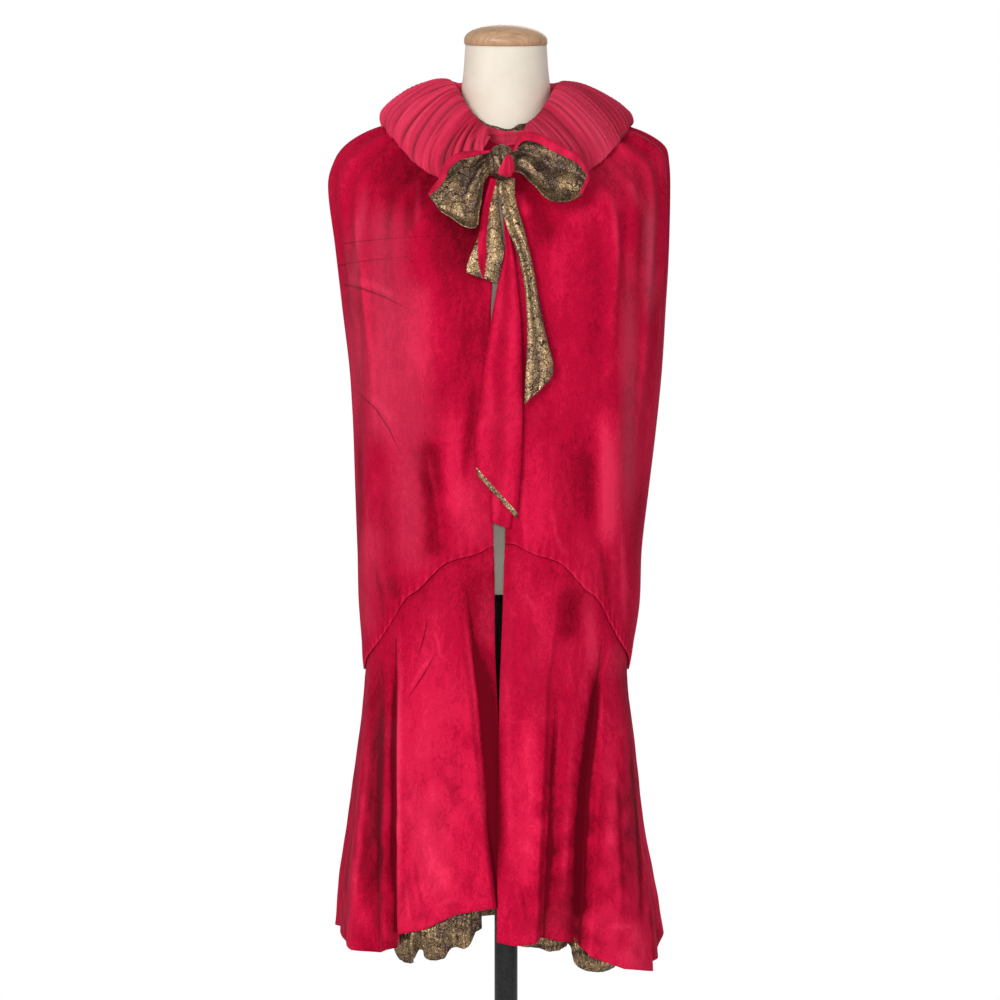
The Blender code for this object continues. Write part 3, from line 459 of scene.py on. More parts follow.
def makeLining():
    # metal cloth seen through two nets, a wide one of black cord and a fine one; the metal's shade and
    # glints are painted
    settings = liningSettings
    material, tree, shader = newMaterial("laceOverGold", 0.42, 0.55)
    wide = placeGroup(tree, netGroup, Cell_scale=110.0, Line=0.030)
    fine = placeGroup(tree, netGroup, Cell_scale=620.0, Line=0.12)
    # painted light and shade from each piece's field, with random clouds
    cloud = addRange(tree, plus(tree, wide["Clouds"], fieldValue(tree, "liningLight")), 0.32, 0.74)
    metal = addMix(tree, cloud, settings["shadow"], settings["gold"])
    # painted glints, stronger where the painted light is
    inLight = addRange(tree, cloud, 0.0, 1.0, 0.25, 1.0)
    glint = times(tree, addRange(tree, wide["Glints"], 0.50, 0.66), inLight)
    metal = addMix(tree, glint, metal, settings["bright"])
    metal = addMix(tree, times(tree, fine["Net"], 0.56), metal, settings["net"])
    colour = addMix(tree, times(tree, wide["Net"], 0.86), metal, settings["net"])
    tree.links.new(colour, shader.inputs["Base Color"])
    shader.inputs["Specular IOR Level"].default_value = 0.25
    rough = plus(tree, times(tree, wide["Net"], 0.35), 0.40)
    tree.links.new(rough, shader.inputs["Roughness"])
    height = plus(tree, wide["Net"], times(tree, wide["Glints"], 0.9))
    addBump(tree, shader, height, 0.5, 0.0007)
    return material


def makeCover():
    material, tree, shader = newMaterial("creamCover", 0.78)
    weave = placeGroup(tree, weaveGroup)
    shade = addRange(tree, weave["Slubs"], 0.30, 0.70)
    colour = addMix(tree, shade, (0.760, 0.690, 0.570, 1.0), (0.840, 0.775, 0.655, 1.0))
    tree.links.new(colour, shader.inputs["Base Color"])
    shader.inputs["Sheen Weight"].default_value = 0.12
    addBump(tree, shader, weave["Threads"], 0.25, 0.0004)
    return material


def makeWood():
    material, tree, shader = newMaterial("turnedWood", 0.42)
    grain = addNoise(tree, stretchedPlace(tree, (1.0, 6.0, 1.0)), 24.0, 8.0, 0.65, 1.4)["Fac"]
    pores = addNoise(tree, stretchedPlace(tree, (0.25, 9.0, 1.0)), 260.0, 3.0)["Fac"]
    light = addRange(tree, grain, 0.32, 0.68)
    wood = addMix(tree, light, (0.400, 0.215, 0.110, 1.0), (0.640, 0.400, 0.230, 1.0))
    pore = addRange(tree, pores, 0.60, 0.72, 0.0, 0.45)
    tree.links.new(addMix(tree, pore, wood, (0.230, 0.110, 0.050, 1.0)), shader.inputs["Base Color"])
    shader.inputs["Coat Weight"].default_value = 0.15
    addBump(tree, shader, pores, 0.12, 0.0006)
    return material


def makeIron():
    material, tree, shader = newMaterial("blackIron", 0.38, 0.55)
    speckle = addNoise(tree, stretchedPlace(tree, (1.0, 1.0, 1.0)), 300.0, 5.0)["Fac"]
    spread = addRange(tree, speckle, 0.35, 0.65)
    colour = addMix(tree, spread, (0.016, 0.016, 0.017, 1.0), (0.034, 0.033, 0.033, 1.0))
    tree.links.new(colour, shader.inputs["Base Color"])
    tree.links.new(addRange(tree, speckle, 0.3, 0.7, 0.30, 0.48), shader.inputs["Roughness"])
    addBump(tree, shader, speckle, 0.10, 0.0004)
    return material


velvet = makeVelvet("redVelvet", velvetSettings)
collarVelvet = makeVelvet("ruchedVelvet", collarVelvetSettings)
lining, cover, wood, iron = makeLining(), makeCover(), makeWood(), makeIron()
print("stage: materials made")


# the cape's own surface

clothSettings = {
    "velvetWall": 0.0016,
    "tieWall": 0.0014,
    "layGap": 0.0006,
    "squareness": 0.85,
    "archGap": 0.0006,
    "archLap": 0.0026,  # the upper cape hangs a little over the skirt
    "upperRows": 160,
    "skirtRows": 100,
    "skirtStrips": 7,  # fine columns for each strip of the CAD
    "fallSteps": 8,
    "aroundRadius": 0.19,  # turns an angle into a length round the cloth
    "upperLength": 0.55,
    "skirtLength": 0.40,
}
shoulders = {
    "left": [0.0632, 0.0900, 0.1200, 0.1620, 0.1900, 0.2105, 0.2225, 0.2305],
    "right": [0.0632, 0.0900, 0.1200, 0.1600, 0.1890, 0.2075, 0.2115, 0.2130],
    "front": [0.0632, 0.0820, 0.1020, 0.1250, 0.1370, 0.1430, 0.1480, 0.1520],
    "back": [0.0632, 0.0820, 0.1030, 0.1280, 0.1380, 0.1430, 0.1470, 0.1500],
    "sideHeight": [1.4480, 1.4420, 1.4350, 1.4250, 1.4130, 1.3980, 1.3800, 1.3480],
    "frontHeight": [1.3950, 1.3810, 1.3600, 1.3250, 1.2950, 1.2720, 1.2500, 1.2150],
    "backHeight": [1.4550, 1.4460, 1.4300, 1.3900, 1.3550, 1.3350, 1.3100, 1.2700],
}
fall = {
    "height": [1.348, 1.300, 1.200, 1.130, 1.040, 0.940, 0.860, 0.800, 0.745,
               0.715, 0.670, 0.620, 0.560, 0.500, 0.450, 0.390, 0.340],
    "left": [0.2305, 0.2245, 0.2135, 0.2050, 0.1985, 0.1950, 0.1930, 0.1912, 0.1880,
             0.1835, 0.1865, 0.1920, 0.1976, 0.2040, 0.2105, 0.2145, 0.2180],
    "right": [0.2130, 0.2135, 0.2080, 0.2036, 0.1950, 0.1840, 0.1752, 0.1735, 0.1665,
              0.1580, 0.1610, 0.1650, 0.1690, 0.1750, 0.1840, 0.1920, 0.1970],
    "front": [0.1480, 0.1500, 0.1525, 0.1550, 0.1570, 0.1580, 0.1570, 0.1550, 0.1540,
              0.1550, 0.1600, 0.1670, 0.1750, 0.1850, 0.1930, 0.2000, 0.2050],
    "back": [0.1470, 0.1490, 0.1530, 0.1560, 0.1570, 0.1570, 0.1570, 0.1570, 0.1570,
             0.1580, 0.1630, 0.1710, 0.1810, 0.1920, 0.2010, 0.2090, 0.2140],
}
archedSeam = {
    "share": [0.000, 0.060, 0.200, 0.310, 0.400, 0.465, 0.575, 0.670, 0.765, 0.855, 0.960, 1.000],
    "height": [0.8880, 0.8870, 0.8745, 0.8690, 0.8625, 0.8520, 0.8305, 0.8170, 0.7890, 0.7640,
               0.7390, 0.7230],
    "backHeight": 0.705,
}
frontEdges = {
    "height": [1.400, 1.300, 1.200, 1.050, 0.900, 0.850, 0.800, 0.750, 0.700, 0.600, 0.380],
    "left": [-0.0040, -0.0110, -0.0190, -0.0185, -0.0165, -0.0148, -0.0143, -0.0138, -0.0118,
             -0.0070, 0.0010],
    "right": [0.0030, 0.0020, 0.0015, 0.0005, -0.0012, -0.0028, -0.0042, -0.0058, -0.0072,
              -0.0088, -0.0105],
}
lastRow = len(shoulders["left"]) - 1
seamTop = archedSeam["height"][0]


def shoulderValue(row, name):
    values = shoulders[name]
    low = np.clip(np.asarray(row, float).astype(int), 0, lastRow - 1)
    return mixed(np.take(values, low), np.take(values, low + 1), row - low)


def shoulderSquareness(row):
    return mixed(1.0, clothSettings["squareness"], row / lastRow)


def shoulderPlace(angle, row):
    sizes = (shoulderValue(row, name) for name in ("left", "right", "front", "back"))
    x, y = roundPlace(angle, *sizes, shoulderSquareness(row))
    heights = (shoulderValue(row, name) for name in ("sideHeight", "frontHeight", "backHeight"))
    return np.stack(np.broadcast_arrays(x, y, tiltedHeight(angle, *heights)), axis=-1)


def fallPlace(angle, height):
    sizes = (smoothCurve(fall["height"], fall[name], height) for name in ("left", "right", "front", "back"))
    x, y = roundPlace(angle, *sizes, clothSettings["squareness"])
    return np.stack(np.broadcast_arrays(x, y, height), axis=-1)


def outward(angle, height):
    along = fallPlace(angle + 1, height) - fallPlace(angle - 1, height)
    away = np.stack([along[..., 1], -along[..., 0], 0 * along[..., 0]], axis=-1)
    return away / np.linalg.norm(away, axis=-1, keepdims=True)


def shoulderRow(x, height, side):
    # the place between the shoulder rows of the front's point at a distance and a height
    low, high = np.zeros(np.shape(height)), np.full(np.shape(height), float(lastRow))
    for _ in range(26):
        row = 0.5 * (low + high)
        square = shoulderSquareness(row)
        turn = np.minimum(np.abs(x) / shoulderValue(row, side), 1.0) ** (2 / square)
        top, front = shoulderValue(row, "sideHeight"), shoulderValue(row, "frontHeight")
        above = top + (front - top) * (1 - turn) > height
        low, high = np.where(above, row, low), np.where(above, high, row)
    return row


def shoulderTop(x, y):
    # height of the cape's shoulder under a place; the place's own row is found by halving
    low, high = np.zeros(x.shape), np.full(x.shape, float(lastRow))
    for _ in range(22):
        row = 0.5 * (low + high)
        square = shoulderSquareness(row)
        wide = np.where(x < 0, shoulderValue(row, "left"), shoulderValue(row, "right"))
        deep = np.where(y < 0, shoulderValue(row, "front"), shoulderValue(row, "back"))
        outside = (np.abs(x) / wide) ** (2 / square) + (np.abs(y) / deep) ** (2 / square) > 1
        low, high = np.where(outside, row, low), np.where(outside, high, row)
    ahead = (np.abs(y) / deep) ** (2 / square)
    end = np.where(y < 0, shoulderValue(row, "frontHeight"), shoulderValue(row, "backHeight"))
    side = shoulderValue(row, "sideHeight")
    return side + (end - side) * ahead


def seamHeight(angle):
    share = np.abs(np.sin(np.radians(angle))) ** clothSettings["squareness"]
    front = smoothCurve(archedSeam["share"], archedSeam["height"], share)
    turn = np.abs(np.cos(np.radians(angle)))
    back = mixed(archedSeam["height"][-1], archedSeam["backHeight"], eased(turn * 2))
    return np.where(np.cos(np.radians(angle)) > 0, front, back)


def frontSize(row, height, name):
    # a size of the section at a height, on the shoulder or below it
    onShoulder = height > shoulders["frontHeight"][-1]
    return np.where(onShoulder, shoulderValue(row, name), smoothCurve(fall["height"], fall[name], height))


def frontSquareness(row, height):
    onShoulder = height > shoulders["frontHeight"][-1]
    return np.where(onShoulder, shoulderSquareness(row), clothSettings["squareness"])


def edgeAngle(height, side):
    height = np.asarray(height, float)
    distance = smoothCurve(frontEdges["height"], frontEdges[side], height)
    row = shoulderRow(0.0, height, side)
    share = (np.abs(distance) / frontSize(row, height, side)) ** (1 / frontSquareness(row, height))
    return np.sign(distance) * np.degrees(share)


def angleAt(seamAngle, height, side):
    # near the opening a column follows the front edge
    if side is None:
        return seamAngle + 0 * height
    return seamAngle + (1 - np.abs(seamAngle) / 90) * edgeAngle(height, side)


# soft gathers that fall from under the collar
gathers = {
    "angle": [-84, -78, -72, -66, -60.5, -55, -50, -45, -36, -31, -26, 17, 24, 31, 37, 47, 52, 58, 64,
              70, 79, 102, 110, 118, 126, 134, 142, 150, 158, 166, 174, 182, 190, 198, 206, 214, 222,
              230, 238, 246, 253, 260],
    "halfWidth": [3, 4, 3, 4, 3, 3.5, 3, 4, 4, 3, 4, 4, 4, 3, 4, 4, 3, 4, 3,
                  5, 4, 6, 4, 6, 4, 6, 4, 6, 4, 6, 4, 6, 4, 6, 4, 6, 4,
                  6, 4, 6, 4, 5],
    "rise": [2.0, 3.4, -1.6, 4.6, -2.0, 6.0, -2.4, 3.6, 4.8, -2.6, 5.2, 2.4, 3.8, -2.4, 5.6, 4.0, -2.6,
             6.0, -2.0, 4.6, 2.6, 4.0, -2.0, 5.5, -2.4, 4.5, -2.0, 6.0, -2.4, 4.0, -2.0, 5.5, -2.4,
             4.5, -2.2, 6.0, -2.4, 4.5, -2.0, 5.5, -2.0, 3.5],
    "end": [1.10, 1.02, 1.08, 0.98, 1.12, 1.00, 1.18, 1.20, 1.12, 1.16, 1.08, 1.18, 1.15, 1.10, 1.02,
            1.16, 1.10, 0.96, 1.08, 1.05, 1.10, 1.08, 1.15, 1.00, 1.14, 1.10, 1.16, 1.02, 1.14, 1.12,
            1.16, 1.00, 1.15, 1.10, 1.14, 1.02, 1.16, 1.08, 1.14, 1.00, 1.15, 1.10],
    "fade": 0.20,
    "backReach": 0.22,  # the back's folds fall this much further
    "frontShare": 0.75, "backShare": 1.1,  # of the rises above
    "overForm": 1.28,  # above this height no fold sinks into the shoulders
    # painted light on the gathers' ridges and shade in their hollows, painted light on the upper cape's
    # lower rim, strength of painted shade in fine wrinkles
    "light": 14, "rimLight": 0.30, "wrinkle": 0.10,
}


def gatherRise(angle, height, grown):
    total = np.zeros(angle.shape)
    rows = zip(gathers["angle"], gathers["halfWidth"], gathers["rise"], gathers["end"])
    for place, halfWidth, rise, end in rows:
        away = np.abs((angle - place + 180) % 360 - 180) / halfWidth
        shape = 0.5 * (1 + np.cos(pi * np.minimum(away, 1)))
        total += 0.001 * rise * shape * eased((height - end) / gathers["fade"])
    return total * grown


def upperSurface(seamAngles, side):
    # columns from the neck seam to the arched seam, with the angle kept beside each point
    control = []
    for row in range(lastRow):
        level = shoulders["frontHeight"][row] + 0 * seamAngles
        height = shoulderPlace(angleAt(seamAngles, level, side), row)[..., 2]
        angle = angleAt(seamAngles, height, side)
        control.append(np.concatenate([shoulderPlace(angle, row), angle[..., None]], axis=-1))
    foot = shoulders["frontHeight"][-1] + 0 * seamAngles
    start = shoulderPlace(angleAt(seamAngles, foot, side), lastRow)[..., 2]
    end = seamHeight(angleAt(seamAngles, seamTop + 0 * seamAngles, side)) - clothSettings["archLap"]
    for step in range(clothSettings["fallSteps"] + 1):
        height = mixed(start, end, step / clothSettings["fallSteps"])
        angle = angleAt(seamAngles, height, side)
        control.append(np.concatenate([fallPlace(angle, height), angle[..., None]], axis=-1))
    fine = resampled(np.stack(control, axis=1), clothSettings["upperRows"])
    return fine[..., :3], fine[..., 3]


# folds and storage creases of the fronts with painted shadows, highlights and sheen, seen from the front
upperStrokes = [
    (37.8, 0, -0.34, -0.05, (-0.134, 1.362), (-0.096, 1.337), (-0.045, 1.312)),
    (32.8, 0, -0.22, -0.12, (-0.071, 1.286), (-0.055, 1.255)),
    (45.3, 0, -0.18, -0.2, (-0.052, 1.230), (-0.045, 1.154)),
    (25.2, 0, 0.1, 0.12, (-0.111, 1.192), (-0.118, 1.066), (-0.121, 0.940), (-0.118, 0.877)),
    (27.7, 0, 0.08, 0.16, (-0.152, 1.280), (-0.154, 1.192), (-0.161, 1.041)),
    (11.3, -0.5, -0.1, 0.14, (-0.197, 1.318), (-0.198, 1.192), (-0.193, 1.041)),
    (17.6, -1, -0.34, -0.08, (-0.096, 0.997), (-0.093, 0.883)),
    (15.1, 0.8, 0.2, 0, (-0.068, 1.041), (-0.071, 0.940)),
    (6.3, -1, -0.3, -0.06, (-0.040, 1.104), (-0.045, 1.041), (-0.055, 0.953)),
    (20.2, 0.4, 0.14, 0.04, (-0.055, 0.940), (-0.040, 0.896)),
    (11.3, -0.6, -0.16, 0.02, (-0.152, 0.846), (-0.136, 0.814)),
    (17.6, 0.4, 0.06, 0.1, (-0.176, 0.890), (-0.181, 0.789)),
    (37.8, 0, -0.16, 0.05, (0.118, 1.362), (0.169, 1.356)),
    (17.6, 0, -0.3, -0.12, (0.030, 1.324), (0.049, 1.278)),
    (7.6, 0.6, 0.50, -0.12, (0.014, 1.336), (0.026, 1.292)),
    (13.9, 0, -0.26, -0.06, (0.030, 1.299), (0.044, 1.179), (0.063, 1.079)),
    (16.4, 0.3, 0.1, -0.15, (0.068, 1.255), (0.063, 1.192)),
    (30.2, 0, 0.02, -0.16, (0.100, 1.280), (0.103, 1.041)),
    (11.3, -0.5, -0.12, 0.20, (0.156, 1.280), (0.156, 1.066), (0.156, 0.864)),
    (13.9, 1, 0.56, 0.06, (0.123, 1.079), (0.131, 0.965), (0.130, 0.858)),
    (17.6, 0.5, 0.16, -0.02, (0.035, 1.003), (0.043, 0.902)),
    (10.1, -0.9, -0.2, -0.02, (0.106, 1.016), (0.103, 0.890)),
    (10.1, -0.3, -0.06, 0.22, (0.184, 1.343), (0.185, 1.154)),
    (10.1, 0, -0.16, -0.08, (0.013, 1.192), (0.016, 1.041), (0.008, 0.915)),
    (3.8, 0.62, 0.15, 0.08, (-0.209, 1.225), (-0.169, 1.213), (-0.131, 1.192)),
    (3.8, 0.62, 0.15, 0.06, (-0.184, 1.081), (-0.159, 1.060), (-0.141, 1.036)),
    (3.8, -1.12, -0.23, 0.06, (-0.189, 1.280), (-0.185, 1.154), (-0.186, 1.003), (-0.186, 0.827)),
    (5, 0.9, 0.08, 0.12, (-0.176, 1.356), (-0.186, 1.280), (-0.195, 1.192)),
    (6.3, -1.8, -0.2, 0, (-0.123, 1.331), (-0.121, 1.299), (-0.125, 1.273)),
    (5, 1.5, 0.1, 0.08, (-0.110, 1.358), (-0.111, 1.318), (-0.113, 1.278)),
    (5, -1.2, -0.14, 0, (-0.144, 1.343), (-0.149, 1.299), (-0.154, 1.268)),
    (5, 1.2, 0.08, 0.08, (0.134, 1.343), (0.139, 1.255), (0.140, 1.167)),
    (5, -1.2, -0.12, 0, (0.146, 1.343), (0.151, 1.242), (0.154, 1.154)),
    (5, 1.3, 0.1, 0.1, (0.154, 1.349), (0.164, 1.328), (0.174, 1.305)),
    (3.8, -1, -0.08, 0.08, (0.180, 1.356), (0.181, 1.217), (0.179, 1.041)),
    (3.8, 0.75, 0.19, 0.06, (-0.101, 1.016), (-0.088, 0.940), (-0.076, 0.880)),
    (3.8, 0.75, 0.15, 0, (0.018, 0.978), (0.023, 0.915), (0.030, 0.874)),
    (3.1, 0.75, 0.15, 0.05, (0.053, 0.940), (0.063, 0.896), (0.076, 0.864)),
    (3.8, -0.88, -0.19, 0, (0.118, 0.890), (0.126, 0.846), (0.134, 0.801)),
    (3.8, 0.88, 0.15, 0.08, (0.146, 0.915), (0.149, 0.852), (0.151, 0.776)),
    (3.8, -0.88, -0.23, 0, (-0.169, 0.864), (-0.159, 0.814), (-0.154, 0.776)),
]


def buildUpper(name, node, seamAngles, side, strokes, seed):
    points, angle = upperSurface(seamAngles, side)
    normals = gridNormals(points)
    x, z = points[..., 0], points[..., 2]
    down = np.linspace(0, 1, points.shape[1])[None, :]
    grown = eased((down - 0.07) / 0.10)
    around = np.radians(angle) * clothSettings["aroundRadius"]
    reach, part = (0, gathers["frontShare"]) if side else (gathers["backReach"], gathers["backShare"])
    gathered = gatherRise(angle, z + reach, grown) * part
    rise = gathered + 0.0010 * ripple(around, z * 0.45, 0.030, seed) * grown
    strokeRise, light, paintedSheen = strokeFields(x, z, strokes)
    rise += strokeRise
    overForm = eased((z - gathers["overForm"]) / 0.06)
    rise = mixed(rise, np.maximum(rise, -0.0002), overForm)
    fromSeam = (1 - down) * clothSettings["upperLength"]
    rise += 0.0002 * np.exp(-(fromSeam / 0.005) ** 2)
    pucker = np.sin(around * 520 + 1.5 * ripple(around, z, 0.03, seed + 40))
    rise += 0.0010 * np.exp(-((fromSeam - 0.009) / 0.010) ** 2)
    rise += 0.0005 * pucker * np.exp(-(fromSeam / 0.016) ** 2)
    # painted light and shade: lighter on the gathers' ridges, darker in their hollows, with random soft
    # waves; painted light and shade on the puckers and painted light on the lower rim
    light = light + gathers["light"] * gathered + 0.10 * ripple(around, z * 0.3, 0.016, seed + 50)
    light = light + 0.12 * pucker * np.exp(-(fromSeam / 0.014) ** 2) + gathers["rimLight"] * (down > 0.999)
    points = points + normals * rise[..., None]
    # strength of painted shade in fine wrinkles
    wrinkle = gathers["wrinkle"] * eased(0.3 + 0.5 * ripple(x, z, 0.045, seed + 80))
    return sheetMesh(name, node, points, (velvet, lining), clothSettings["velvetWall"],
                     light=light, paintedSheen=paintedSheen, wrinkle=wrinkle)


frontLeft = buildUpper("frontLeftPanel", "front_left", np.linspace(-89.9, 0, 118), "left", upperStrokes, 3)
frontRight = buildUpper(
    "frontRightPanel", "front_right", np.linspace(0, 89.9, 118), "right", upperStrokes, 4)
backPanel = buildUpper("backPanel", "back", np.linspace(90.1, 269.9, 140), None, [], 5)
print("stage: upper cape made")


# the skirt

# for each ridge and valley: angle at the seam, angle at the hem, rise, hem height, CAD strips
skirtLeft = [
    (-90.0, -90.0, 0.000, 0.385, 3), (-80.0, -72.0, 0.000, 0.378, 3), (-72.0, -58.0, 0.010, 0.371, 3),
    (-62.0, -45.5, -0.004, 0.371, 3), (-54.0, -40.0, 0.008, 0.376, 2), (-46.5, -36.2, -0.006, 0.380, 2),
    (-44.0, -33.2, 0.013, 0.398, 3), (-32.0, -24.0, 0.012, 0.405, 3), (-23.0, -13.0, 0.007, 0.425, 3),
    (-15.0, -2.9, 0.012, 0.433, 2), (-11.8, -0.9, -0.002, 0.433, 2), (0.0, 0.0, -0.002, 0.433, 0),
]
skirtRight = [
    (0.0, 0.0, 0.007, 0.391, 2), (6.0, 3.5, 0.011, 0.387, 3), (19.0, 9.0, 0.009, 0.389, 2),
    (22.0, 11.4, -0.002, 0.396, 2), (31.0, 18.3, 0.005, 0.391, 3), (49.0, 25.0, -0.005, 0.388, 2),
    (52.0, 27.6, 0.014, 0.372, 3), (64.0, 41.0, 0.019, 0.354, 3), (77.0, 60.0, 0.014, 0.344, 2),
    (80.5, 63.5, -0.004, 0.350, 2), (85.0, 76.0, 0.003, 0.352, 2), (90.0, 90.0, 0.000, 0.352, 0),
]
skirtSettings = {"backFolds": 9, "backRise": 0.013, "backDrop": -0.004, "backHem": 0.374,
                 "foldStart": 0.04, "foldPower": 0.75,
                 # painted light on the folds' ridges and shade in their hollows, painted shade under the
                 # seam, strength of painted shade in fine wrinkles
                 "foldLight": 19, "crumpleTop": 0.70, "seamShade": 0.10, "wrinkle": 0.13}


def backRows():
    rows = [skirtRight[-1][:4] + (2,)]
    count = 2 * skirtSettings["backFolds"]
    for step in range(1, count):
        angle = mixed(90.0, 270.0, step / count)
        rise = skirtSettings["backRise"] if step % 2 else skirtSettings["backDrop"]
        hem = mixed(skirtSettings["backHem"], skirtLeft[0][3], float(eased((angle - 225) / 45)))
        rows.append((angle, angle + 2 * sin(2.3 * step), rise * (1 + 0.25 * sin(1.7 * step)), hem, 2))
    rows.append((270.0, 270.0, skirtLeft[0][2], skirtLeft[0][3], 0))
    return rows


def skirtStations(rows, fine):
    stations = []
    for row, after in zip(rows, rows[1:]):
        for step in range(row[4] * fine):
            share = step / (row[4] * fine)
            station = [mixed(a, b, share) for a, b in zip(row[:4], after[:4])]
            station[2] = mixed(row[2], after[2], float(eased(share)))
            stations.append(station)
    stations.append(list(rows[-1][:4]))
    return np.array(stations)


def skirtSurface(rows, side):
    seamAngle, hemAngle, rise, hem = (
        column[:, None] for column in skirtStations(rows, clothSettings["skirtStrips"]).T)
    share = np.linspace(0, 1, clothSettings["skirtRows"])[None, :]
    top = seamHeight(angleAt(seamAngle, seamTop + 0 * seamAngle, side)) - clothSettings["archGap"] / 2
    height = mixed(top, hem, share)
    angle = angleAt(seamAngle, height, side) + (hemAngle - seamAngle) * share
    start = skirtSettings["foldStart"]
    grown = (np.maximum(share - start, 0) / (1 - start)) ** skirtSettings["foldPower"]
    points = fallPlace(angle, height) + outward(angle, height) * (rise * grown)[..., None]
    return points, angle, share, rise


# folds and creases of the skirt's fronts with painted shadows, highlights and sheen, seen from the front
skirtStrokes = [
    (4.0, 0.8, 0.30, 0.05, (-0.172, 0.660), (-0.186, 0.520), (-0.196, 0.400)),
    (4.0, -1.0, -0.40, 0, (-0.156, 0.720), (-0.160, 0.560), (-0.161, 0.400)),
    (5.0, 0.6, 0.22, 0.04, (0.084, 0.640), (0.076, 0.540), (0.070, 0.430)),
    (3.5, -0.8, -0.30, 0, (0.141, 0.620), (0.146, 0.500), (0.148, 0.400)),
    (13.8, 0, -0.26, 0.02, (-0.160, 0.740), (-0.165, 0.640), (-0.173, 0.515), (-0.173, 0.402)),
    (10, -0.6, -0.14, -0.02, (-0.145, 0.752), (-0.145, 0.615), (-0.146, 0.402)),
    (37.5, 0, 0.17, 0.02, (-0.101, 0.765), (-0.083, 0.565), (-0.068, 0.440)),
    (20, 0, 0.12, 0.05, (-0.095, 0.565), (-0.088, 0.465)),
    (3.8, 1.25, 0.23, 0.05, (-0.133, 0.765), (-0.136, 0.615), (-0.134, 0.402)),
    (3, -1, -0.7, 0, (-0.141, 0.765), (-0.143, 0.615), (-0.140, 0.400)),
    (2.5, 0.8, 0.16, 0.03, (-0.135, 0.752), (-0.136, 0.615), (-0.134, 0.402)),
    (4.5, -0.6, -0.80, -0.04, (-0.050, 0.827), (-0.045, 0.790), (-0.031, 0.692), (-0.021, 0.577),
     (-0.013, 0.477), (-0.011, 0.434)),
    (10.0, 0, -0.70, -0.06, (-0.033, 0.790), (-0.021, 0.665), (-0.013, 0.565), (-0.009, 0.446)),
    (3.8, -0.4, -0.26, -0.03, (-0.016, 0.765), (-0.014, 0.665), (-0.010, 0.490)),
    (11.3, 0, 0.06, 0.05, (-0.028, 0.846), (-0.023, 0.740)),
    (3.3, 0.4, 0.2, 0.03, (-0.060, 0.846), (-0.053, 0.802), (-0.039, 0.692), (-0.029, 0.557),
     (-0.021, 0.471)),
    (11.3, 0, 0.32, 0.02, (0.028, 0.702), (0.030, 0.565), (0.028, 0.434)),
    (17.5, 0, 0.12, 0, (0.049, 0.815), (0.053, 0.740)),
    (15, 0, -0.34, -0.02, (0.083, 0.840), (0.078, 0.752)),
    (4, -1.6, -0.46, -0.02, (0.064, 0.690), (0.058, 0.602), (0.054, 0.490), (0.046, 0.385)),
    (15, 0, -0.04, 0, (0.068, 0.702), (0.058, 0.565), (0.054, 0.402)),
    (11.3, 0.4, 0.1, 0.02, (0.086, 0.702), (0.080, 0.577)),
    (15, 0, -0.2, 0, (0.083, 0.490), (0.075, 0.390)),
    (7, -1.6, -1.05, -0.04, (0.121, 0.765), (0.108, 0.649), (0.098, 0.571), (0.093, 0.489), (0.091, 0.387)),
    (3.3, 0.7, 0.2, 0.03, (0.126, 0.734), (0.116, 0.649), (0.106, 0.571), (0.101, 0.489), (0.099, 0.396)),
    (11.3, 0.5, 0.24, 0.02, (0.133, 0.690), (0.133, 0.565), (0.125, 0.440)),
    (11.3, 0, -0.2, 0.02, (0.153, 0.615), (0.158, 0.502), (0.158, 0.390)),
    (3.1, -1, -0.46, 0, (0.156, 0.646), (0.164, 0.561), (0.170, 0.466), (0.173, 0.371)),
    (11.3, 0, 0.1, 0.08, (0.140, 0.765), (0.145, 0.702)),
    (10, 0, -0.12, 0, (0.011, 0.502), (0.014, 0.390)),
    (5, 0.7, 0.1, 0.02, (-0.001, 0.790), (0.003, 0.615), (0.005, 0.440)),
    (2, 1.12, 0.19, 0.06, (-0.093, 0.780), (-0.085, 0.759), (-0.083, 0.737)),
    (1.9, 1, 0.23, 0.05, (-0.091, 0.746), (-0.108, 0.725), (-0.125, 0.696)),
    (2.3, 0.75, 0.19, 0.04, (-0.126, 0.465), (-0.123, 0.434), (-0.120, 0.408)),
    (2.3, -0.75, -0.19, 0, (-0.114, 0.490), (-0.110, 0.459), (-0.103, 0.427)),
    (2.5, 0.62, 0.15, 0.04, (0.020, 0.827), (0.028, 0.815), (0.038, 0.800)),
    (3.1, 1, 0.19, 0.03, (0.071, 0.690), (0.063, 0.615), (0.053, 0.527)),
    (2.5, 0.62, 0.15, 0.03, (-0.095, 0.434), (-0.076, 0.440), (-0.055, 0.445)),
    (2.5, 0.62, 0.19, 0.04, (0.128, 0.408), (0.145, 0.405), (0.165, 0.407)),
    (2.5, -0.62, -0.23, 0, (0.018, 0.465), (0.023, 0.434), (0.025, 0.408)),
    (7.5, 0, 0.14, 0.08, (0.100, 0.827), (0.108, 0.765), (0.115, 0.702)),
]


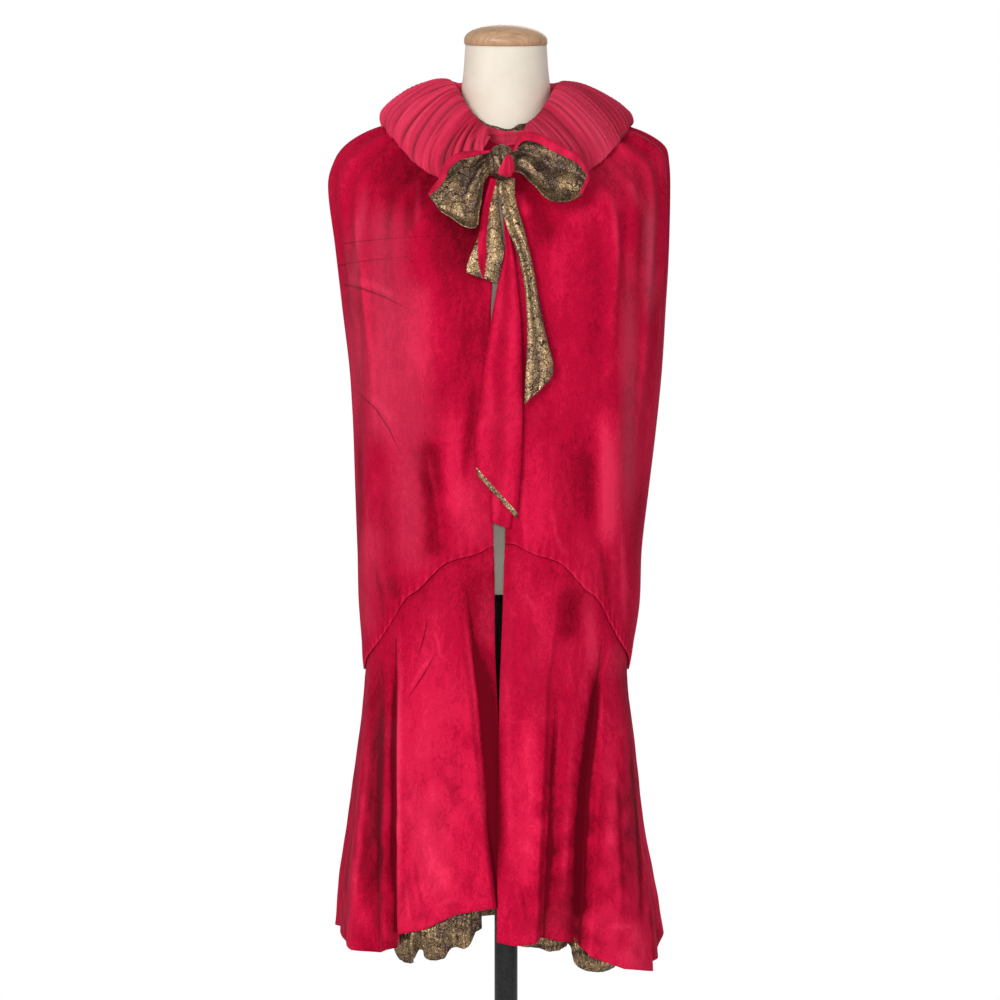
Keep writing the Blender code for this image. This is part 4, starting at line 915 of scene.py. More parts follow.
def buildSkirt(name, node, rows, side, strokes, seed):
    points, angle, share, fold = skirtSurface(rows, side)
    normals = gridNormals(points)
    x, z = points[..., 0], points[..., 2]
    around = np.radians(angle) * clothSettings["aroundRadius"]
    rise = 0.0008 * ripple(around, z * 0.3, 0.022, seed) * eased(share * 8)
    strokeRise, light, paintedSheen = strokeFields(x, z, strokes)
    fromSeam = share * clothSettings["skirtLength"]
    rise += strokeRise - 0.0018 * np.exp(-(fromSeam / 0.010) ** 2)
    # painted light on the folds' ridges and painted shade in their hollows
    light = light + skirtSettings["foldLight"] * (fold - 0.005) * share
    light = light + 0.12 * ripple(around, z * 0.3, 0.018, seed + 50)
    awayFromFront = eased(np.abs(np.sin(np.radians(angle))) * 6)
    crumpled = eased((skirtSettings["crumpleTop"] - z) / 0.16) * awayFromFront
    crumple = ripple(around * 1.5, z, 0.0075, seed + 60) * crumpled
    rise += 0.0005 * crumple
    # painted light and shade on the crumples
    light = light + 0.12 * crumple
    # the upper cape shades the seam
    light = light - skirtSettings["seamShade"] * np.exp(-(fromSeam / 0.007) ** 2)
    points = points + normals * rise[..., None]
    # strength of painted shade in fine wrinkles
    wrinkle = skirtSettings["wrinkle"] * eased(0.35 + 0.5 * ripple(x, z, 0.035, seed + 80) + 0.3 * crumpled)
    return sheetMesh(name, node, points, (velvet, lining), clothSettings["velvetWall"],
                     light=light, paintedSheen=paintedSheen, wrinkle=wrinkle)


skirtLeftPanel = buildSkirt("skirtLeftPanel", "skirt_left", skirtLeft, "left", skirtStrokes, 6)
skirtRightPanel = buildSkirt("skirtRightPanel", "skirt_right", skirtRight, "right", skirtStrokes, 7)
skirtBackPanel = buildSkirt("skirtBackPanel", "skirt_back", backRows(), None, [], 8)
print("stage: skirt made")


# lining ruffles at the hem

ruffleSettings = {
    # the flounce's lower edge: x and height along it, with the gaps between its lobes
    "left": [(-0.1420, 0.385), (-0.1395, 0.3910), (-0.1382, 0.3710), (-0.1357, 0.3636), (-0.1282, 0.3599),
             (-0.1208, 0.3592), (-0.1120, 0.3624), (-0.1073, 0.3692), (-0.1050, 0.3790), (-0.1000, 0.3790),
             (-0.0971, 0.3716), (-0.0934, 0.3673), (-0.0822, 0.3667), (-0.0735, 0.3691), (-0.0697, 0.3773),
             (-0.0672, 0.3820), (-0.0622, 0.3829), (-0.0510, 0.3817), (-0.0448, 0.3841), (-0.0411, 0.3910),
             (-0.0374, 0.4022), (-0.0299, 0.4066)],
    "right": [(0.0120, 0.3890), (0.0160, 0.3853), (0.0299, 0.3829), (0.0444, 0.3816), (0.0604, 0.3764),
              (0.0747, 0.3785), (0.0843, 0.3822), (0.0905, 0.3870), (0.0928, 0.3710), (0.0959, 0.3605),
              (0.1046, 0.3536), (0.1120, 0.3505), (0.1282, 0.3505), (0.1382, 0.3552), (0.1440, 0.3620)],
    "swell": 0.010, "top": 0.022, "reach": 4.5, "ease": 0.14, "radius": 0.205, "lobeTop": 0.392,
    "under": 0.0024,
}


def buildRuffle(name, node, rows, lobes, seed):
    settings = ruffleSettings
    stations = skirtStations(rows, 1)
    order = np.argsort(stations[:, 1])
    hemAngles, rises, heights = stations[order][:, 1], stations[order][:, 2], stations[order][:, 3]
    lobes = np.array(lobes)
    x = np.linspace(lobes[0, 0], lobes[-1, 0], 280)
    low = np.interp(x, lobes[:, 0], lobes[:, 1])
    low = np.convolve(np.pad(low, 4, mode="edge"), np.ones(9) / 9, mode="valid")
    swell = np.clip((settings["lobeTop"] - low) / 0.020, 0, 1)
    sine = (np.abs(x) / settings["radius"]) ** (1 / clothSettings["squareness"])
    angle = np.degrees(np.arcsin(sine)) * np.sign(x)
    low = low + 0.0006 * ripple(x, 0 * x, 0.0030, seed)
    high = np.interp(angle, hemAngles, heights) + settings["top"]
    near = [np.interp(angle + settings["reach"] * step, hemAngles, rises)
            for step in np.linspace(-1, 1, 13)]
    rise = np.min(near, axis=0) - settings["under"] - clothSettings["layGap"]
    rise = rise - settings["ease"] * np.abs(rise)
    down = np.linspace(0, 1, 32)[None, :]
    height = mixed(high[:, None], low[:, None], down ** 0.9)
    crumple = ripple(x[:, None], height * 2.2, 0.0055, seed + 7)
    belly = np.sin(pi * np.clip(down * 0.86, 0, 1)) ** 1.2  # each lobe rounds out and tucks under
    crimp = np.sin(2 * pi * x / 0.0065 + 1.2 * ripple(x, 0 * x, 0.01, seed + 3))[:, None]
    swing = -0.010 * down + settings["swell"] * swell[:, None] * belly + 0.0006 * crimp * (0.3 + down)
    swing = (swing + 0.0016 * crumple) * eased(down * 2.2)
    angle = angle[:, None] + 0 * height
    points = fallPlace(angle, height) + outward(angle, height) * (rise[:, None] + swing)[..., None]
    # painted light and shade of the lining: lighter on the lobes' bellies, following the crimps and
    # crumples
    glow = 0.16 * (swell[:, None] * belly - 0.5) - 0.03 + 0.04 * crimp + 0.10 * crumple
    # painted shadow under the hem, darker toward the top
    glow = glow - 0.20 * (1 - eased(down / 0.5))
    return sheetMesh(name, node, points, (lining,), clothSettings["tieWall"], glow=glow)


ruffleLeft = buildRuffle("hemRuffleLeft", "hem_ruffle_left", skirtLeft, ruffleSettings["left"], 1)
ruffleRight = buildRuffle("hemRuffleRight", "hem_ruffle_right", skirtRight, ruffleSettings["right"], 2)
print("stage: ruffles made")


# neck band and ruched collar

bandSettings = {
    "radius": 0.0633, "frontTop": 1.4150, "sideTop": 1.4640, "lift": -0.0008, "wall": 0.0020, "rows": 16,
    # where the top edge stands up, and its lining shows: place across, half width, rise
    "humps": [(-0.0120, 0.0110, 0.0020), (0.0165, 0.0065, 0.0034)],
    "edgeRows": 2,
}


def buildBand():
    settings = bandSettings
    angle = np.linspace(0, 360, 240)[:, None]
    low = tiltedHeight(angle, *(shoulders[name][0] for name in ("sideHeight", "frontHeight", "backHeight")))
    high = tiltedHeight(angle, settings["sideTop"], settings["frontTop"], settings["sideTop"])
    across = settings["radius"] * np.sin(np.radians(angle))
    front = np.cos(np.radians(angle)) > 0.5
    hump = [rise * np.exp(-((across - place) / half) ** 2) for place, half, rise in settings["humps"]]
    high = high + front * sum(hump)
    down = np.linspace(0, 1, settings["rows"])[None, :]
    height = mixed(high, low + settings["lift"], down)
    wrinkle = ripple(across * 0.4, height, 0.0022, 9) * front
    x, y = circlePlace(angle + 0 * height, settings["radius"] + 0.0005 * (1 + wrinkle))
    points = np.stack([x, y, height], axis=-1)
    lined = settings["edgeRows"] + 3 * (hump[1] > 0.0012)
    edge = front & (np.arange(settings["rows"])[None, :] < lined)
    # painted light and shade following the band's wrinkles, painted sheen all over, and the lining's
    # painted light set lower
    return sheetMesh("neckBand", "neck_band", points, (collarVelvet, lining),
                     settings["wall"], rim=1, second=edge,
                     light=0.08 + 0.40 * wrinkle, paintedSheen=0.25, glow=-0.12)


collarSettings = {
    "left": [0.0640, 0.0655, 0.0770, 0.1000, 0.1270, 0.1490, 0.1590, 0.1590, 0.1480],
    "right": [0.0640, 0.0655, 0.0750, 0.0980, 0.1270, 0.1510, 0.1620, 0.1620, 0.1510],
    "front": [0.0640, 0.0670, 0.0790, 0.0950, 0.1090, 0.1190, 0.1250, 0.1250, 0.1170],
    "back": [0.0640, 0.0655, 0.0770, 0.1000, 0.1230, 0.1400, 0.1490, 0.1480, 0.1390],
    "sideHeight": [1.4660, 1.4770, 1.4830, 1.4780, 1.4650, 1.4500, 1.4390, 1.4310, 1.4330],
    "frontHeight": [1.3970, 1.4060, 1.4110, 1.4020, 1.3870, 1.3710, 1.3560, 1.3420, 1.3450],
    "backHeight": [1.4720, 1.4830, 1.4890, 1.4830, 1.4660, 1.4460, 1.4300, 1.4180, 1.4190],
    "rise": [0.0002, 0.0016, 0.0036, 0.0054, 0.0064, 0.0064, 0.0046, 0.0016, 0.0000],
    "pleats": 56,
    "columns": 16,  # for each pleat
    "rows": 42,
    "closer": 0.40,  # the pleats are finer on the right, up to this angle
    "closerUntil": 190,
    "squareness": 0.80,
    # where the edge hangs lower: angle, half width, drop
    "dips": [(315.0, 24.0, 0.024), (52.0, 24.0, 0.034)],
    "draws": 400,  # random values, one for each pleat in turn
    "fork": 0.62,
    # on the right side and on the left one; the light values are painted: light on the left side, shade in
    # the valleys, highlight on the crests, light and shade on ripples and crinkles
    "strength": (0.62, 1.25), "hollow": (0.50, 0.72), "fineRise": (0.12, 0.20),
    "paintedSideLight": (0.00, 0.18), "valley": (0.46, 1.25), "crest": (0.10, 0.22),
    "fineLight": (0.08, 0.16), "crinkleLight": (0.10, 0.17),
    "clearance": 0.0085,
    "turn": (24.0, 38.0),  # how far the pleats turn toward the front on their way out, right and left
    "frontAngle": 9.5,
    "gathered": 0.62,  # how far the ends close in on the knot
    "wall": 0.0022,
}


def buildCollar():
    settings = collarSettings
    columns, rowCount = settings["pleats"] * settings["columns"], settings["rows"]
    share = np.linspace(0, 1, columns)[:, None]
    row = np.linspace(0, 8, rowCount)[None, :]
    angle = mixed(settings["frontAngle"], 360 - settings["frontAngle"], share) + 0 * row
    value = {name: smoothCurve(range(9), settings[name], row) for name in (
        "left", "right", "front", "back", "sideHeight", "frontHeight", "backHeight", "rise")}
    square = mixed(1.0, settings["squareness"], eased(row / 6) * (np.cos(np.radians(angle)) > 0))
    x, y = roundPlace(angle, *(value[name] for name in ("left", "right", "front", "back")), square)
    height = tiltedHeight(angle, value["sideHeight"], value["frontHeight"], value["backHeight"])
    for place, halfWidth, drop in settings["dips"]:
        height = height - drop * np.exp(-((angle - place) / halfWidth) ** 2) * eased((row - 1.5) / 5.5)
    rest = shoulderTop(x, y) + settings["clearance"]
    height = np.where(row > 3, np.maximum(height, rest), height)
    points = np.stack([x, y, height], axis=-1)
    normals = gridNormals(points)
    # the pleats turn downward on their way out, toward the centre front
    leftSide = eased((angle - 165) / 60)
    turn = mixed(*settings["turn"], leftSide)
    turned = angle - turn * -np.sin(np.radians(angle)) * (row / 8) ** 0.9
    closer = settings["closer"] * np.minimum(turned, settings["closerUntil"])
    count = (turned + closer) / 360 * settings["pleats"]
    count = count + 1.7 * ripple(turned / 60, row * 0.05, 0.30, 12)
    count = count + 0.60 * ripple(turned / 20, row * 0.24, 0.35, 15)
    draws, forked = settings["draws"], settings["fork"]
    valley = np.round(count).astype(int) % draws
    away = np.abs(count - np.round(count))
    chance = np.random.default_rng(16)
    depth, start = chance.uniform(0.25, 1.45, draws), chance.uniform(-3, 3.4, draws)
    stop = chance.uniform(4.8, 11, draws)
    along = eased((row - start[valley]) / 1.5) * eased((stop[valley] - row) / 2.2)
    hollow = depth[valley] * along * np.exp(-(away / 0.14) ** 2)
    between = np.floor(count).astype(int) % draws
    place = np.abs(count - np.floor(count) - mixed(0.35, 0.65, chance.random(draws)[between]))
    forkStart, forkStop = chance.uniform(0.5, 7.5, draws), chance.uniform(2.5, 10.0, draws)
    fork = eased((row - forkStart[between]) / 1.4) * eased((forkStop[between] - row) / 1.4)
    hollow = hollow + forked * fork * np.exp(-(place / 0.10) ** 2)
    narrow = depth[valley] * along * np.exp(-(away / 0.09) ** 2)
    narrow = narrow + forked * fork * np.exp(-(place / 0.08) ** 2)
    crest = np.sqrt(np.abs(np.sin(pi * count))) * depth[valley] * along
    fine = ripple(turned / 7, row * 0.35, 0.30, 18)
    broad = ripple(turned / 9, row * 0.10, 0.75, 19)
    crinkle = ripple(turned / 1.5, row * 0.34, 0.30, 20)
    side = {name: mixed(*settings[name], leftSide) for name in (
        "strength", "hollow", "fineRise", "paintedSideLight", "valley", "crest", "fineLight", "crinkleLight")}
    relief = 0.44 * crest - side["hollow"] * hollow + side["fineRise"] * fine
    relief = relief + 0.22 * broad + 0.12 * crinkle
    rise = value["rise"] * (0.52 + side["strength"] * relief)
    edge = np.minimum(row / 0.8, 1.0) * eased((8 - row) / 1.0)
    points = points + normals * np.maximum(rise, -0.0004)[..., None]
    points[..., 2] -= 0.0055 * np.minimum(crest, 1) * eased((row - 5.6) / 1.6) * eased((8.0 - row) / 0.8)
    # the ends gather into the knot
    middle = points[:, 14:24].mean(axis=1, keepdims=True)
    ends = np.exp(-(np.minimum(share, 1 - share) / 0.018) ** 2)[..., None]
    points = mixed(points, middle, settings["gathered"] * ends)
    # painted light and shade: darker in the valleys, lighter on the crests and on the left side, following
    # ripples and crinkles, darker toward the lower edge and along the neck edge
    light = side["paintedSideLight"] - side["valley"] * narrow * edge + side["crest"] * crest
    light = light + side["fineLight"] * fine + 0.12 * broad
    light = light + side["crinkleLight"] * crinkle + 0.10 * ripple(turned / 30, row * 0.03, 0.20, 17)
    light = light - 0.34 * eased((row - 6.2) / 1.3) - 0.6 * (row < 0.3)
    # painted sheen on the crests
    paintedSheen = 0.12 + 0.22 * np.clip(0.4 + 0.5 * crest + 0.5 * broad, 0, 1) * edge
    return sheetMesh("ruchedCollar", "collar", points, (collarVelvet,), settings["wall"],
                     light=light, paintedSheen=paintedSheen)


neckBand, collar = buildBand(), buildCollar()
print("stage: collar made")


# the bow

bowSettings = {
    # sections out from the knot: upper edge x and z, lower edge x and z, depth
    "loopLeft": [
        (-0.0200, 1.3800, -0.0200, 1.3530, 0.012), (-0.0364, 1.3771, -0.0274, 1.3394, 0.018),
        (-0.0515, 1.3752, -0.0301, 1.3168, 0.024), (-0.0641, 1.3721, -0.0327, 1.2992, 0.027),
        (-0.0754, 1.3633, -0.0352, 1.2829, 0.028), (-0.0816, 1.3469, -0.0477, 1.2804, 0.024),
        (-0.0904, 1.3331, -0.0641, 1.2904, 0.018), (-0.0985, 1.3243, -0.0829, 1.3042, 0.011)],
    "loopRight": [
        (0.0090, 1.3800, 0.0090, 1.3540, 0.012), (0.0180, 1.3972, 0.0180, 1.3495, 0.021),
        (0.0289, 1.4010, 0.0264, 1.3419, 0.026), (0.0440, 1.3972, 0.0364, 1.3306, 0.030),
        (0.0590, 1.3896, 0.0490, 1.3181, 0.032), (0.0754, 1.3815, 0.0641, 1.3130, 0.031),
        (0.0917, 1.3708, 0.0766, 1.3149, 0.026), (0.1017, 1.3557, 0.0879, 1.3193, 0.017),
        (0.1044, 1.3432, 0.0955, 1.3243, 0.009)],
    # from the rolled upper lip over the top, down the back and out to the lower lip
    "scoop": [(1.00, 0.95), (0.75, 1.00), (0.35, 0.98), (0.08, 0.84), (0.00, 0.58),
              (0.05, 0.30), (0.25, 0.08), (0.55, 0.00)],
    # painted shade in folds and painted highlights on bellies inside the loops: half width, rise, light,
    # sheen, points
    "loopFoldShading": [(4.2, 0, -0.40, 0, (0.034, 1.366), (0.047, 1.357), (0.058, 1.342), (0.062, 1.327)),
                  (6.0, 0, 0.08, 0, (0.075, 1.360), (0.084, 1.345), (0.083, 1.328)),
                  (5.0, 0, 0.05, 0, (0.022, 1.372), (0.034, 1.352), (0.046, 1.333)),
                  (3.0, 0, -0.18, 0, (-0.030, 1.365), (-0.045, 1.345), (-0.055, 1.318)),
                  (6.0, 0, 0.07, 0, (-0.050, 1.340), (-0.066, 1.318), (-0.078, 1.306))],
    "backHigh": (1.400, -0.1310),
    "backLow": (1.280, -0.1500),
    "knotCentre": (-0.0060, -0.1415, 1.3655),
    "knotSize": (0.0198, 0.0182, 0.0222),
    "knotWall": 0.0008,
    # the bit of velvet pinched in the knot, seen from the front
    "pinch": [(0.0025, 1.3775), (-0.0040, 1.3660), (-0.0115, 1.3525), (-0.0045, 1.3460), (0.0060, 1.3475),
              (0.0115, 1.3555), (0.0080, 1.3690)],
}


def buildLoop(name, node, rows, seed, lip, edgeShare=1.0):
    settings = bowSettings
    rows = np.array(rows)
    across = smoothCurve(range(len(rows)), rows, np.linspace(0, len(rows) - 1, 110))
    scoop = smoothCurve(range(9), [(0.98, lip)] + settings["scoop"], np.linspace(0, 8, 70))
    forward, up = scoop[None, :, 0], scoop[None, :, 1]
    topX, topZ, lowX, lowZ, depth = (across[:, index, None] for index in range(5))
    x, z = mixed(lowX, topX, up), mixed(lowZ, topZ, up)
    (highZ, highY), (footZ, footY) = settings["backHigh"], settings["backLow"]
    y = mixed(footY, highY, (z - footZ) / (highZ - footZ)) - depth * forward
    points = np.stack([x, y, z], axis=-1)
    out = np.linspace(0, 1, 110)[:, None]
    if x[-1, 0] < 0:  # both loops have their lined hollow on the same side
        points, out = points[::-1], out[::-1]
    x, z = points[..., 0], points[..., 2]
    normals = gridNormals(points)
    wave = np.sin(up * 2 * pi * 2.6 + 1.5 * np.sin(out * 3.4 + seed))
    folds = 0.0024 * wave * (1 - out) ** 0.8 * eased(out * 6)
    small = ripple(x, z, 0.0045, seed)
    folds = folds + 0.0008 * small * eased(out * 5)
    points = points + normals * folds[..., None]
    # painted light and shade of the lining: following the folds, lighter toward the loop's end, painted
    # shade deep under the upper lip, and the loops' painted fold shade and belly highlights
    glow = 0.16 * wave * (1 - out) + 0.10 * small - 0.10 * (1 - out) + 0.12 * out
    glow = glow - 0.14 * (1 - eased(forward / 0.3)) * eased((up - 0.3) / 0.4)  # deep under the upper lip
    glow = glow + 3.0 * strokeFields(x, z, settings["loopFoldShading"])[1]
    # painted light on the velvet rim, with painted shade in the fold hollows near the knot; a little
    # painted sheen
    light = 0.16 + 0.16 * small - 0.20 * (1 - out) * (wave < -0.5)
    edge = (out > edgeShare) & (up > 0.10)
    return sheetMesh(name, node, points, (lining, velvet), clothSettings["tieWall"],
                     offset=0.0, light=light, paintedSheen=0.05, glow=glow, second=edge)


def buildKnot():
    settings = bowSettings
    turn = np.linspace(0, 2 * pi, 121)[:, None]
    rise = np.linspace(0.02, pi - 0.02, 64)[None, :]
    wide, high = np.sin(rise), np.cos(rise)
    ball = np.stack([wide * np.sin(turn), -wide * np.cos(turn), high + 0 * turn], axis=-1)
    centre, size = np.array(settings["knotCentre"]), np.array(settings["knotSize"])
    place = centre + ball * size
    x, z = place[..., 0], place[..., 2]
    pinch = insideOutline(x, z, settings["pinch"]) & (place[..., 1] < centre[1])
    across = (x - centre[0]) / size[0]
    crease = np.abs(np.sin(5.2 * across + 0.9 * np.cos(rise + 0.4) + 0.4))
    wrap = 1 - 0.12 * (1 - crease) ** 2 * wide
    apexX, apexZ = settings["pinch"][0]
    gather = np.sin(15 * np.arctan2(x - apexX, apexZ + 0.004 - z))
    wrap = wrap + np.where(pinch, 0.05 + 0.03 * gather, 0.0)
    points = centre + ball * size * wrap[..., None]
    # painted light and shade following the pinch's gathers on the velvet, painted shade in the lining's
    # creases, and a little painted sheen
    light = 0.22 + 0.20 * gather
    glow = 0.02 - 0.22 * (1 - crease) ** 2
    piece = sheetMesh("bowKnot", "knot", points, (lining, velvet), settings["knotWall"],
                      light=light, paintedSheen=0.05, glow=glow, second=pinch)
    piece.modifiers["wall"].material_offset = 0
    return piece


tailSettings = {
    # left edge x and z, right edge x and z of each section, from the knot down
    "short": [(-0.0200, 1.3455, -0.0085, 1.3432), (-0.0296, 1.3093, -0.0090, 1.3093),
              (-0.0352, 1.2716, -0.0040, 1.2716), (-0.0427, 1.2527, -0.0025, 1.2500),
              (-0.0500, 1.2330, -0.0070, 1.2314), (-0.0495, 1.2250, -0.0120, 1.2110)],
    "gold": [(-0.0090, 1.3432, 0.0110, 1.3460), (-0.0085, 1.3206, 0.0115, 1.3206),
             (0.0010, 1.2816, 0.0224, 1.2816), (0.0100, 1.2602, 0.0275, 1.2602),
             (0.0188, 1.2289, 0.0345, 1.2289), (0.0239, 1.1962, 0.0402, 1.1962),
             (0.0264, 1.1422, 0.0509, 1.1422), (0.0250, 1.1096, 0.0590, 1.1096),
             (0.0236, 1.0850, 0.0565, 1.0933), (0.0228, 1.0600, 0.0440, 1.0794)],
    "red": [(-0.0060, 1.3434, 0.0040, 1.3434), (-0.0030, 1.2800, 0.0040, 1.2800),
            (-0.0020, 1.2540, 0.0090, 1.2540), (-0.0113, 1.2075, 0.0145, 1.2075),
            (-0.0214, 1.1497, 0.0190, 1.1497), (-0.0327, 1.0681, 0.0205, 1.0681),
            (-0.0402, 1.0216, 0.0200, 1.0216), (-0.0404, 1.0000, 0.0186, 0.9700),
            (-0.0387, 0.9833, 0.0144, 0.9266), (-0.0352, 0.9696, 0.0136, 0.9164)],
    "under": [(-0.0030, 1.2000, 0.0080, 1.2000), (-0.0110, 1.1000, 0.0120, 1.1000),
              (-0.0170, 1.0200, 0.0120, 1.0200), (-0.0188, 0.9400, 0.0095, 0.9400),
              (-0.0178, 0.9120, 0.0055, 0.9030)],
    "curl": [0.0000, 0.0012, 0.0004, 0.0010, 0.0000],
    "lift": 0.0195, "liftEnd": 1.300, "top": 1.343, "ribs": 1.6,
    # the folded strip of the short end: height, and where it starts and stops across the end
    "strip": [(1.3470, 0.00, 0.72), (1.3093, 0.00, 0.44), (1.2716, 0.02, 0.33), (1.2527, 0.17, 0.44),
              (1.2330, 0.36, 0.54), (1.2210, 0.50, 0.56), (1.2150, 0.55, 0.55)],
}


def frontDepth(x, height):
    # how far in front of the middle the cape's face lies, near the centre front
    left = x < 0
    row = np.where(left, shoulderRow(x, height, "left"), shoulderRow(x, height, "right"))
    width = np.where(left, frontSize(row, height, "left"), frontSize(row, height, "right"))
    square = frontSquareness(row, height)
    share = np.minimum(np.abs(x) / width, 1.0) ** (2 / square)
    return frontSize(row, height, "front") * (1 - share) ** (square / 2)


def buildTail(name, node, shape, layer, cloth, seed, trim=None):
    settings = tailSettings
    materials, slot = cloth
    stack = clothSettings["layGap"] + 0.0018
    standOff = stack + layer * (stack + max(settings["curl"]))
    rows = np.array(settings[shape])
    lengths = np.concatenate([[0], np.cumsum(np.hypot(*np.diff(rows[:, :2], axis=0).T))])
    rowCount, columns = 150, 50
    down = smoothCurve(lengths, rows, np.linspace(0, lengths[-1], rowCount))
    share = np.linspace(0, 1, columns)[:, None]
    leftX, leftZ, rightX, rightZ = (down[None, :, index] for index in range(4))
    x, z = mixed(leftX, rightX, share), mixed(leftZ, rightZ, share)
    curl = smoothCurve(np.linspace(0, 1, 5), settings["curl"], share)
    lift = settings["lift"] * eased((z - settings["liftEnd"]) / (settings["top"] - settings["liftEnd"]))
    pull = np.sin(2 * pi * (share * settings["ribs"] + 0.15 * ripple(0 * z, z, 0.02, seed)))
    small = ripple(x * 1.5, z * 0.35, 0.006, seed)
    fold = 0.0005 * (1 + small) + 0.0005 * (1 + pull)
    second = None
    if trim is not None:
        second = trim(share + 0 * z, z, np.linspace(0, lengths[-1], rowCount)[None, :] >= lengths[-2])
        fold = fold + 0.0008 * second
    y = -frontDepth(x, z) - standOff - curl - lift - fold
    points = np.stack([x, y, z], axis=-1)
    sides = np.exp(-(share / 0.08) ** 2) + np.exp(-((1 - share) / 0.08) ** 2)
    # painted light and shade following the ribs and small folds, darker along both edges; the lining
    # painted lighter toward the top
    light = 0.06 + 0.10 * pull + 0.08 * small - 0.18 * sides
    glow = 0.10 * pull + 0.08 * small - 0.12 * sides + 0.06 + 0.10 * eased((z - 1.22) / 0.06)
    return sheetMesh(name, node, points, materials, clothSettings["tieWall"],
                     light=light, paintedSheen=0.0, glow=glow, second=second)


def goldEdge(share, z, lastSection):
    # the lining shows as a narrow edge along the slanted end
    return lastSection & (share >= 0)


def foldedEdge(share, z, lastSection):
    # the short end is folded back on itself, so that its velvet shows as a strip
    strip = np.array(tailSettings["strip"])
    start, stop = smoothCurve(strip[:, 0], strip[:, 1:], z).transpose(2, 0, 1)
    return (share >= start) & (share <= stop)


knot = buildKnot()
loopLeft = buildLoop("bowLoopLeft", "loop_left", bowSettings["loopLeft"], 31, 0.895)
loopRight = buildLoop("bowLoopRight", "loop_right", bowSettings["loopRight"], 32, 0.83, 0.90)
inVelvet, inLining = ((velvet, lining), "velvet"), ((lining, velvet), "lace_lining")
tailUnder = buildTail("tailRedUnder", "tail_red_under", "under", 0, inVelvet, 21)
tailRed = buildTail("tailRed", "tail_red", "red", 1, inVelvet, 22, goldEdge)
tailGold = buildTail("tailGold", "tail_gold", "gold", 2, inLining, 23)
tailShort = buildTail("tailShort", "tail_short", "short", 2, inLining, 24, foldedEdge)
print("stage: bow made")


# dress form and stand

formSettings = {
    "trunk": {
        "height": [1.300, 1.240, 1.170, 1.090, 1.020, 0.950, 0.880, 0.820],
        "side": [0.1870, 0.1640, 0.1440, 0.1270, 0.1220, 0.1340, 0.1440, 0.1470],
        "front": [0.1120, 0.1230, 0.1250, 0.1080, 0.0980, 0.1060, 0.1170, 0.1190],
        "back": [0.1230, 0.1230, 0.1160, 0.1050, 0.1010, 0.1100, 0.1240, 0.1270]},
    "neck": [(1.532, 0.0530), (1.500, 0.0550), (1.478, 0.0575)],
    "neckBase": 0.0600, "neckDrop": 0.0045, "tilt": 10.0, "sides": 96, "shoulderRows": 4,
    "clearance": (0.0036, 0.0040, 0.0062, 0.0105), "trunkSquareness": 0.9,
    "capRadius": 0.0545, "capSide": 0.006, "capRise": 0.021,
    "poleRadius": 0.015, "baseRadius": 0.180, "baseHeight": 0.016, "baseEdge": 0.004,
    "seam": 0.0004, "axis": 0.0004,  # gap between the stand's pieces; radius of a profile's middle
}


def formControl(angle):
    settings = formSettings
    rings = []
    top, foot = settings["neck"][0][0], settings["neck"][-1][0]
    for height, radius in settings["neck"]:
        x, y = circlePlace(angle, radius)
        lean = sin(radians(settings["tilt"])) * float(eased((height - foot) / (top - foot)))
        rings.append(np.stack([x, y, height + y * lean], axis=-1))
    x, y = circlePlace(angle, settings["neckBase"])
    rings.append(np.stack([x, y, shoulderPlace(angle, 0)[..., 2] - settings["neckDrop"]], axis=-1))
    for row in range(1, settings["shoulderRows"] + 1):
        across = shoulderPlace(angle + 1, row) - shoulderPlace(angle - 1, row)
        down = shoulderPlace(angle, row + 0.5) - shoulderPlace(angle, row - 0.5)
        inward = np.cross(across, down)
        inward /= np.linalg.norm(inward, axis=-1, keepdims=True)
        rings.append(shoulderPlace(angle, row) + inward * settings["clearance"][row - 1])
    trunk = settings["trunk"]
    for height, side, front, back in zip(trunk["height"], trunk["side"], trunk["front"], trunk["back"]):
        x, y = roundPlace(angle, side, side, front, back, settings["trunkSquareness"])
        rings.append(np.stack([x, y, height + 0 * x], axis=-1))
    return np.stack(rings, axis=1)


def buildForm():
    settings = formSettings
    angle = np.linspace(0, 360, settings["sides"], endpoint=False)
    points = resampled(formControl(angle), 120)
    sides, rows = points.shape[:2]
    faces = []
    for side in range(sides):
        after = (side + 1) % sides
        for row in range(rows - 1):
            here, there = side * rows + row, after * rows + row
            faces.append((here, here + 1, there + 1, there))
    faces.append(tuple(side * rows for side in range(sides)))
    faces.append(tuple(side * rows + rows - 1 for side in reversed(range(sides))))
    mesh = bpy.data.meshes.new("formTorso")
    mesh.from_pydata(points.reshape(-1, 3).tolist(), [], faces)
    mesh.shade_smooth()
    mesh.materials.append(cover)
    piece = linked("formTorso", mesh)
    rideAs(piece, "form_torso")
    return piece


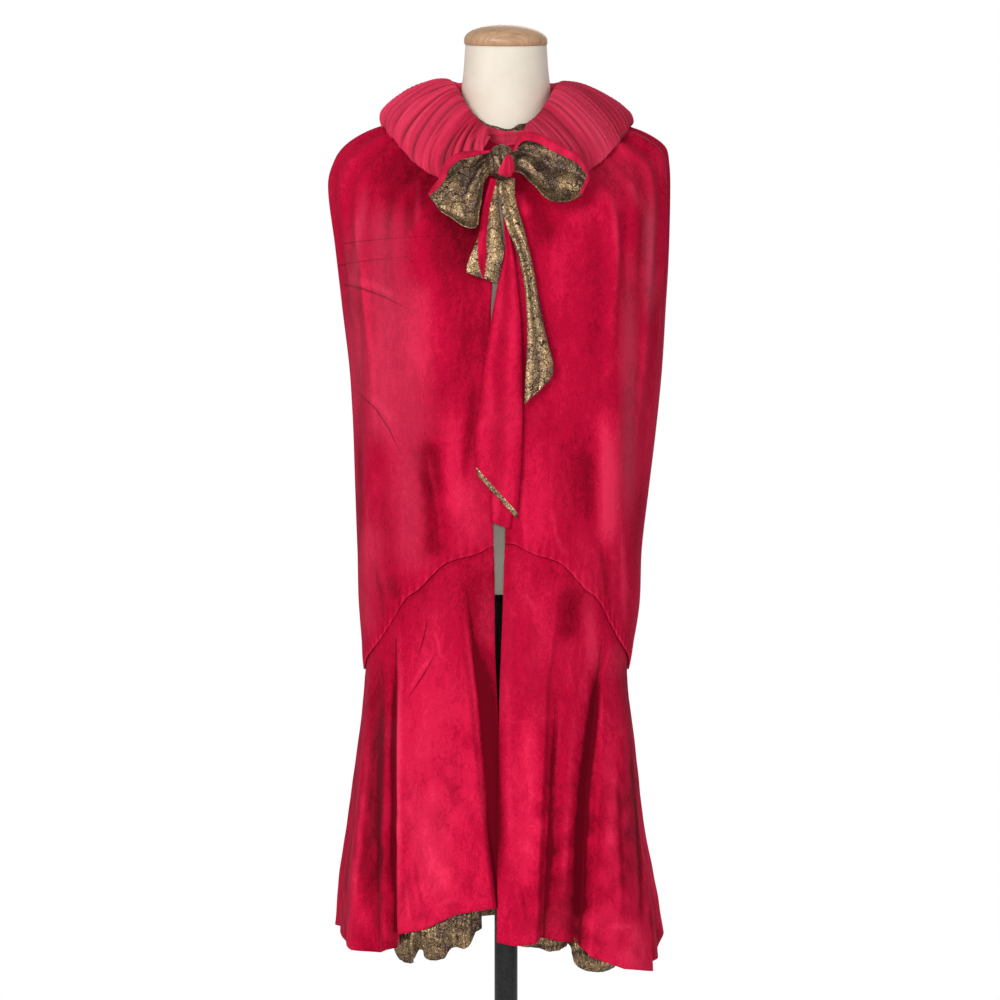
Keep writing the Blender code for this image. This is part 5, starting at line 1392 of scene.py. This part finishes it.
def buildStand():
    settings = formSettings
    radius, side, rise = settings["capRadius"], settings["capSide"], settings["capRise"]
    seam, axis = settings["seam"], settings["axis"]
    turns = [pi / 2 * step / 24 for step in range(1, 25)]
    profile = [(axis, side + rise)] + [(radius * sin(turn), side + rise * cos(turn)) for turn in turns]
    profile += [(radius, 0.0012), (radius - 0.0012, 0.0), (axis, 0.0)]
    cap = turnedMesh("neckCap", profile, 96, wood)
    cap.location = (0.0, 0.0, settings["neck"][0][0] + seam)
    cap.rotation_euler = (radians(settings["tilt"]), 0.0, 0.0)
    bpy.context.view_layer.update()
    foot, top = settings["baseHeight"] + seam, settings["trunk"]["height"][-1] - seam
    thick = settings["poleRadius"]
    pole = turnedMesh("formPole", [(axis, top), (thick, top), (thick, foot), (axis, foot)], 64, iron)
    wide, high, edge = settings["baseRadius"], settings["baseHeight"], settings["baseEdge"]
    rim = [(wide - edge + edge * sin(pi / 2 * step / 6), high - edge + edge * cos(pi / 2 * step / 6))
           for step in range(7)]
    base = turnedMesh("formBase", [(axis, high)] + rim + [(wide, 0.0), (axis, 0.0)], 128, iron)
    for piece, node, slot in ((cap, "neck_cap", "turned_wood"), (pole, "form_pole", "painted_iron"),
                              (base, "form_base", "painted_iron")):
        for corner in piece.data.polygons:
            corner.use_smooth = abs(corner.normal.z) < 0.999
        rideAs(piece, node)


formTorso = buildForm()
buildStand()
print("stage: form and stand made")
# studio

studioSettings = {
    "cameraPlace": (-0.0078, -4.5, 0.94),
    "lens": 36 * 4.5 / 1.3,
    "worldStrength": 0.42,
    "floorRadius": 1.4,
    # name, place, aim, size and power of each lamp
    "lamps": [("keyLight", (-1.7, -3.2, 2.3), (0, 0, 0.85), 1.6, 73),
              ("fillLight", (2.2, -3.0, 1.3), (0, 0, 0.9), 2.0, 14),
              ("frontLight", (0.0, -4.2, 1.0), (0, 0, 0.9), 0.4, 36),
              ("backLight", (0.6, 3.0, 2.6), (0, 0, 1.0), 2.0, 38)],
}


def addLamp(name, place, aim, size, power):
    light = bpy.data.lights.new(name, "AREA")
    light.shape = "DISK"
    light.size = size
    light.energy = power
    lamp = linked(name, light)
    lamp.location = place
    way = np.array(aim) - np.array(place)
    lamp.rotation_euler = Vector(way).to_track_quat("-Z", "Y").to_euler()


def buildStudio():
    settings = studioSettings
    camera = linked("photoCamera", bpy.data.cameras.new("photoCamera"))
    camera.location = settings["cameraPlace"]
    camera.rotation_euler = (pi / 2, 0.0, 0.0)
    camera.data.sensor_width = 36
    camera.data.lens = settings["lens"]
    bpy.context.scene.camera = camera
    paper, tree, shader = newMaterial("palePaper", 0.9)
    grain = addNode(tree, "ShaderNodeTexNoise", {"Scale": 40.0, "Detail": 4.0})
    shade = addMix(tree, grain.outputs["Fac"], (0.90, 0.90, 0.90, 1.0), (0.94, 0.94, 0.94, 1.0))
    tree.links.new(shade, shader.inputs["Base Color"])
    reach = settings["floorRadius"]
    floor = turnedMesh("floor", [(0.001, 0.0), (reach, 0.0), (reach, -0.01)], 96, paper)
    world = bpy.data.worlds.new("studio")
    bpy.context.scene.world = world
    world.use_nodes = True
    sky = world.node_tree
    background = sky.nodes["Background"]
    path = addNode(sky, "ShaderNodeLightPath")
    strength = addRange(sky, path.outputs["Is Camera Ray"], 0.0, 1.0, settings["worldStrength"], 1.0)
    background.inputs["Color"].default_value = (1.0, 1.0, 1.0, 1.0)
    sky.links.new(strength, background.inputs["Strength"])
    for lamp in settings["lamps"]:
        addLamp(*lamp)
    bpy.context.scene.view_settings.view_transform = "Standard"


buildStudio()
print("stage: studio made")
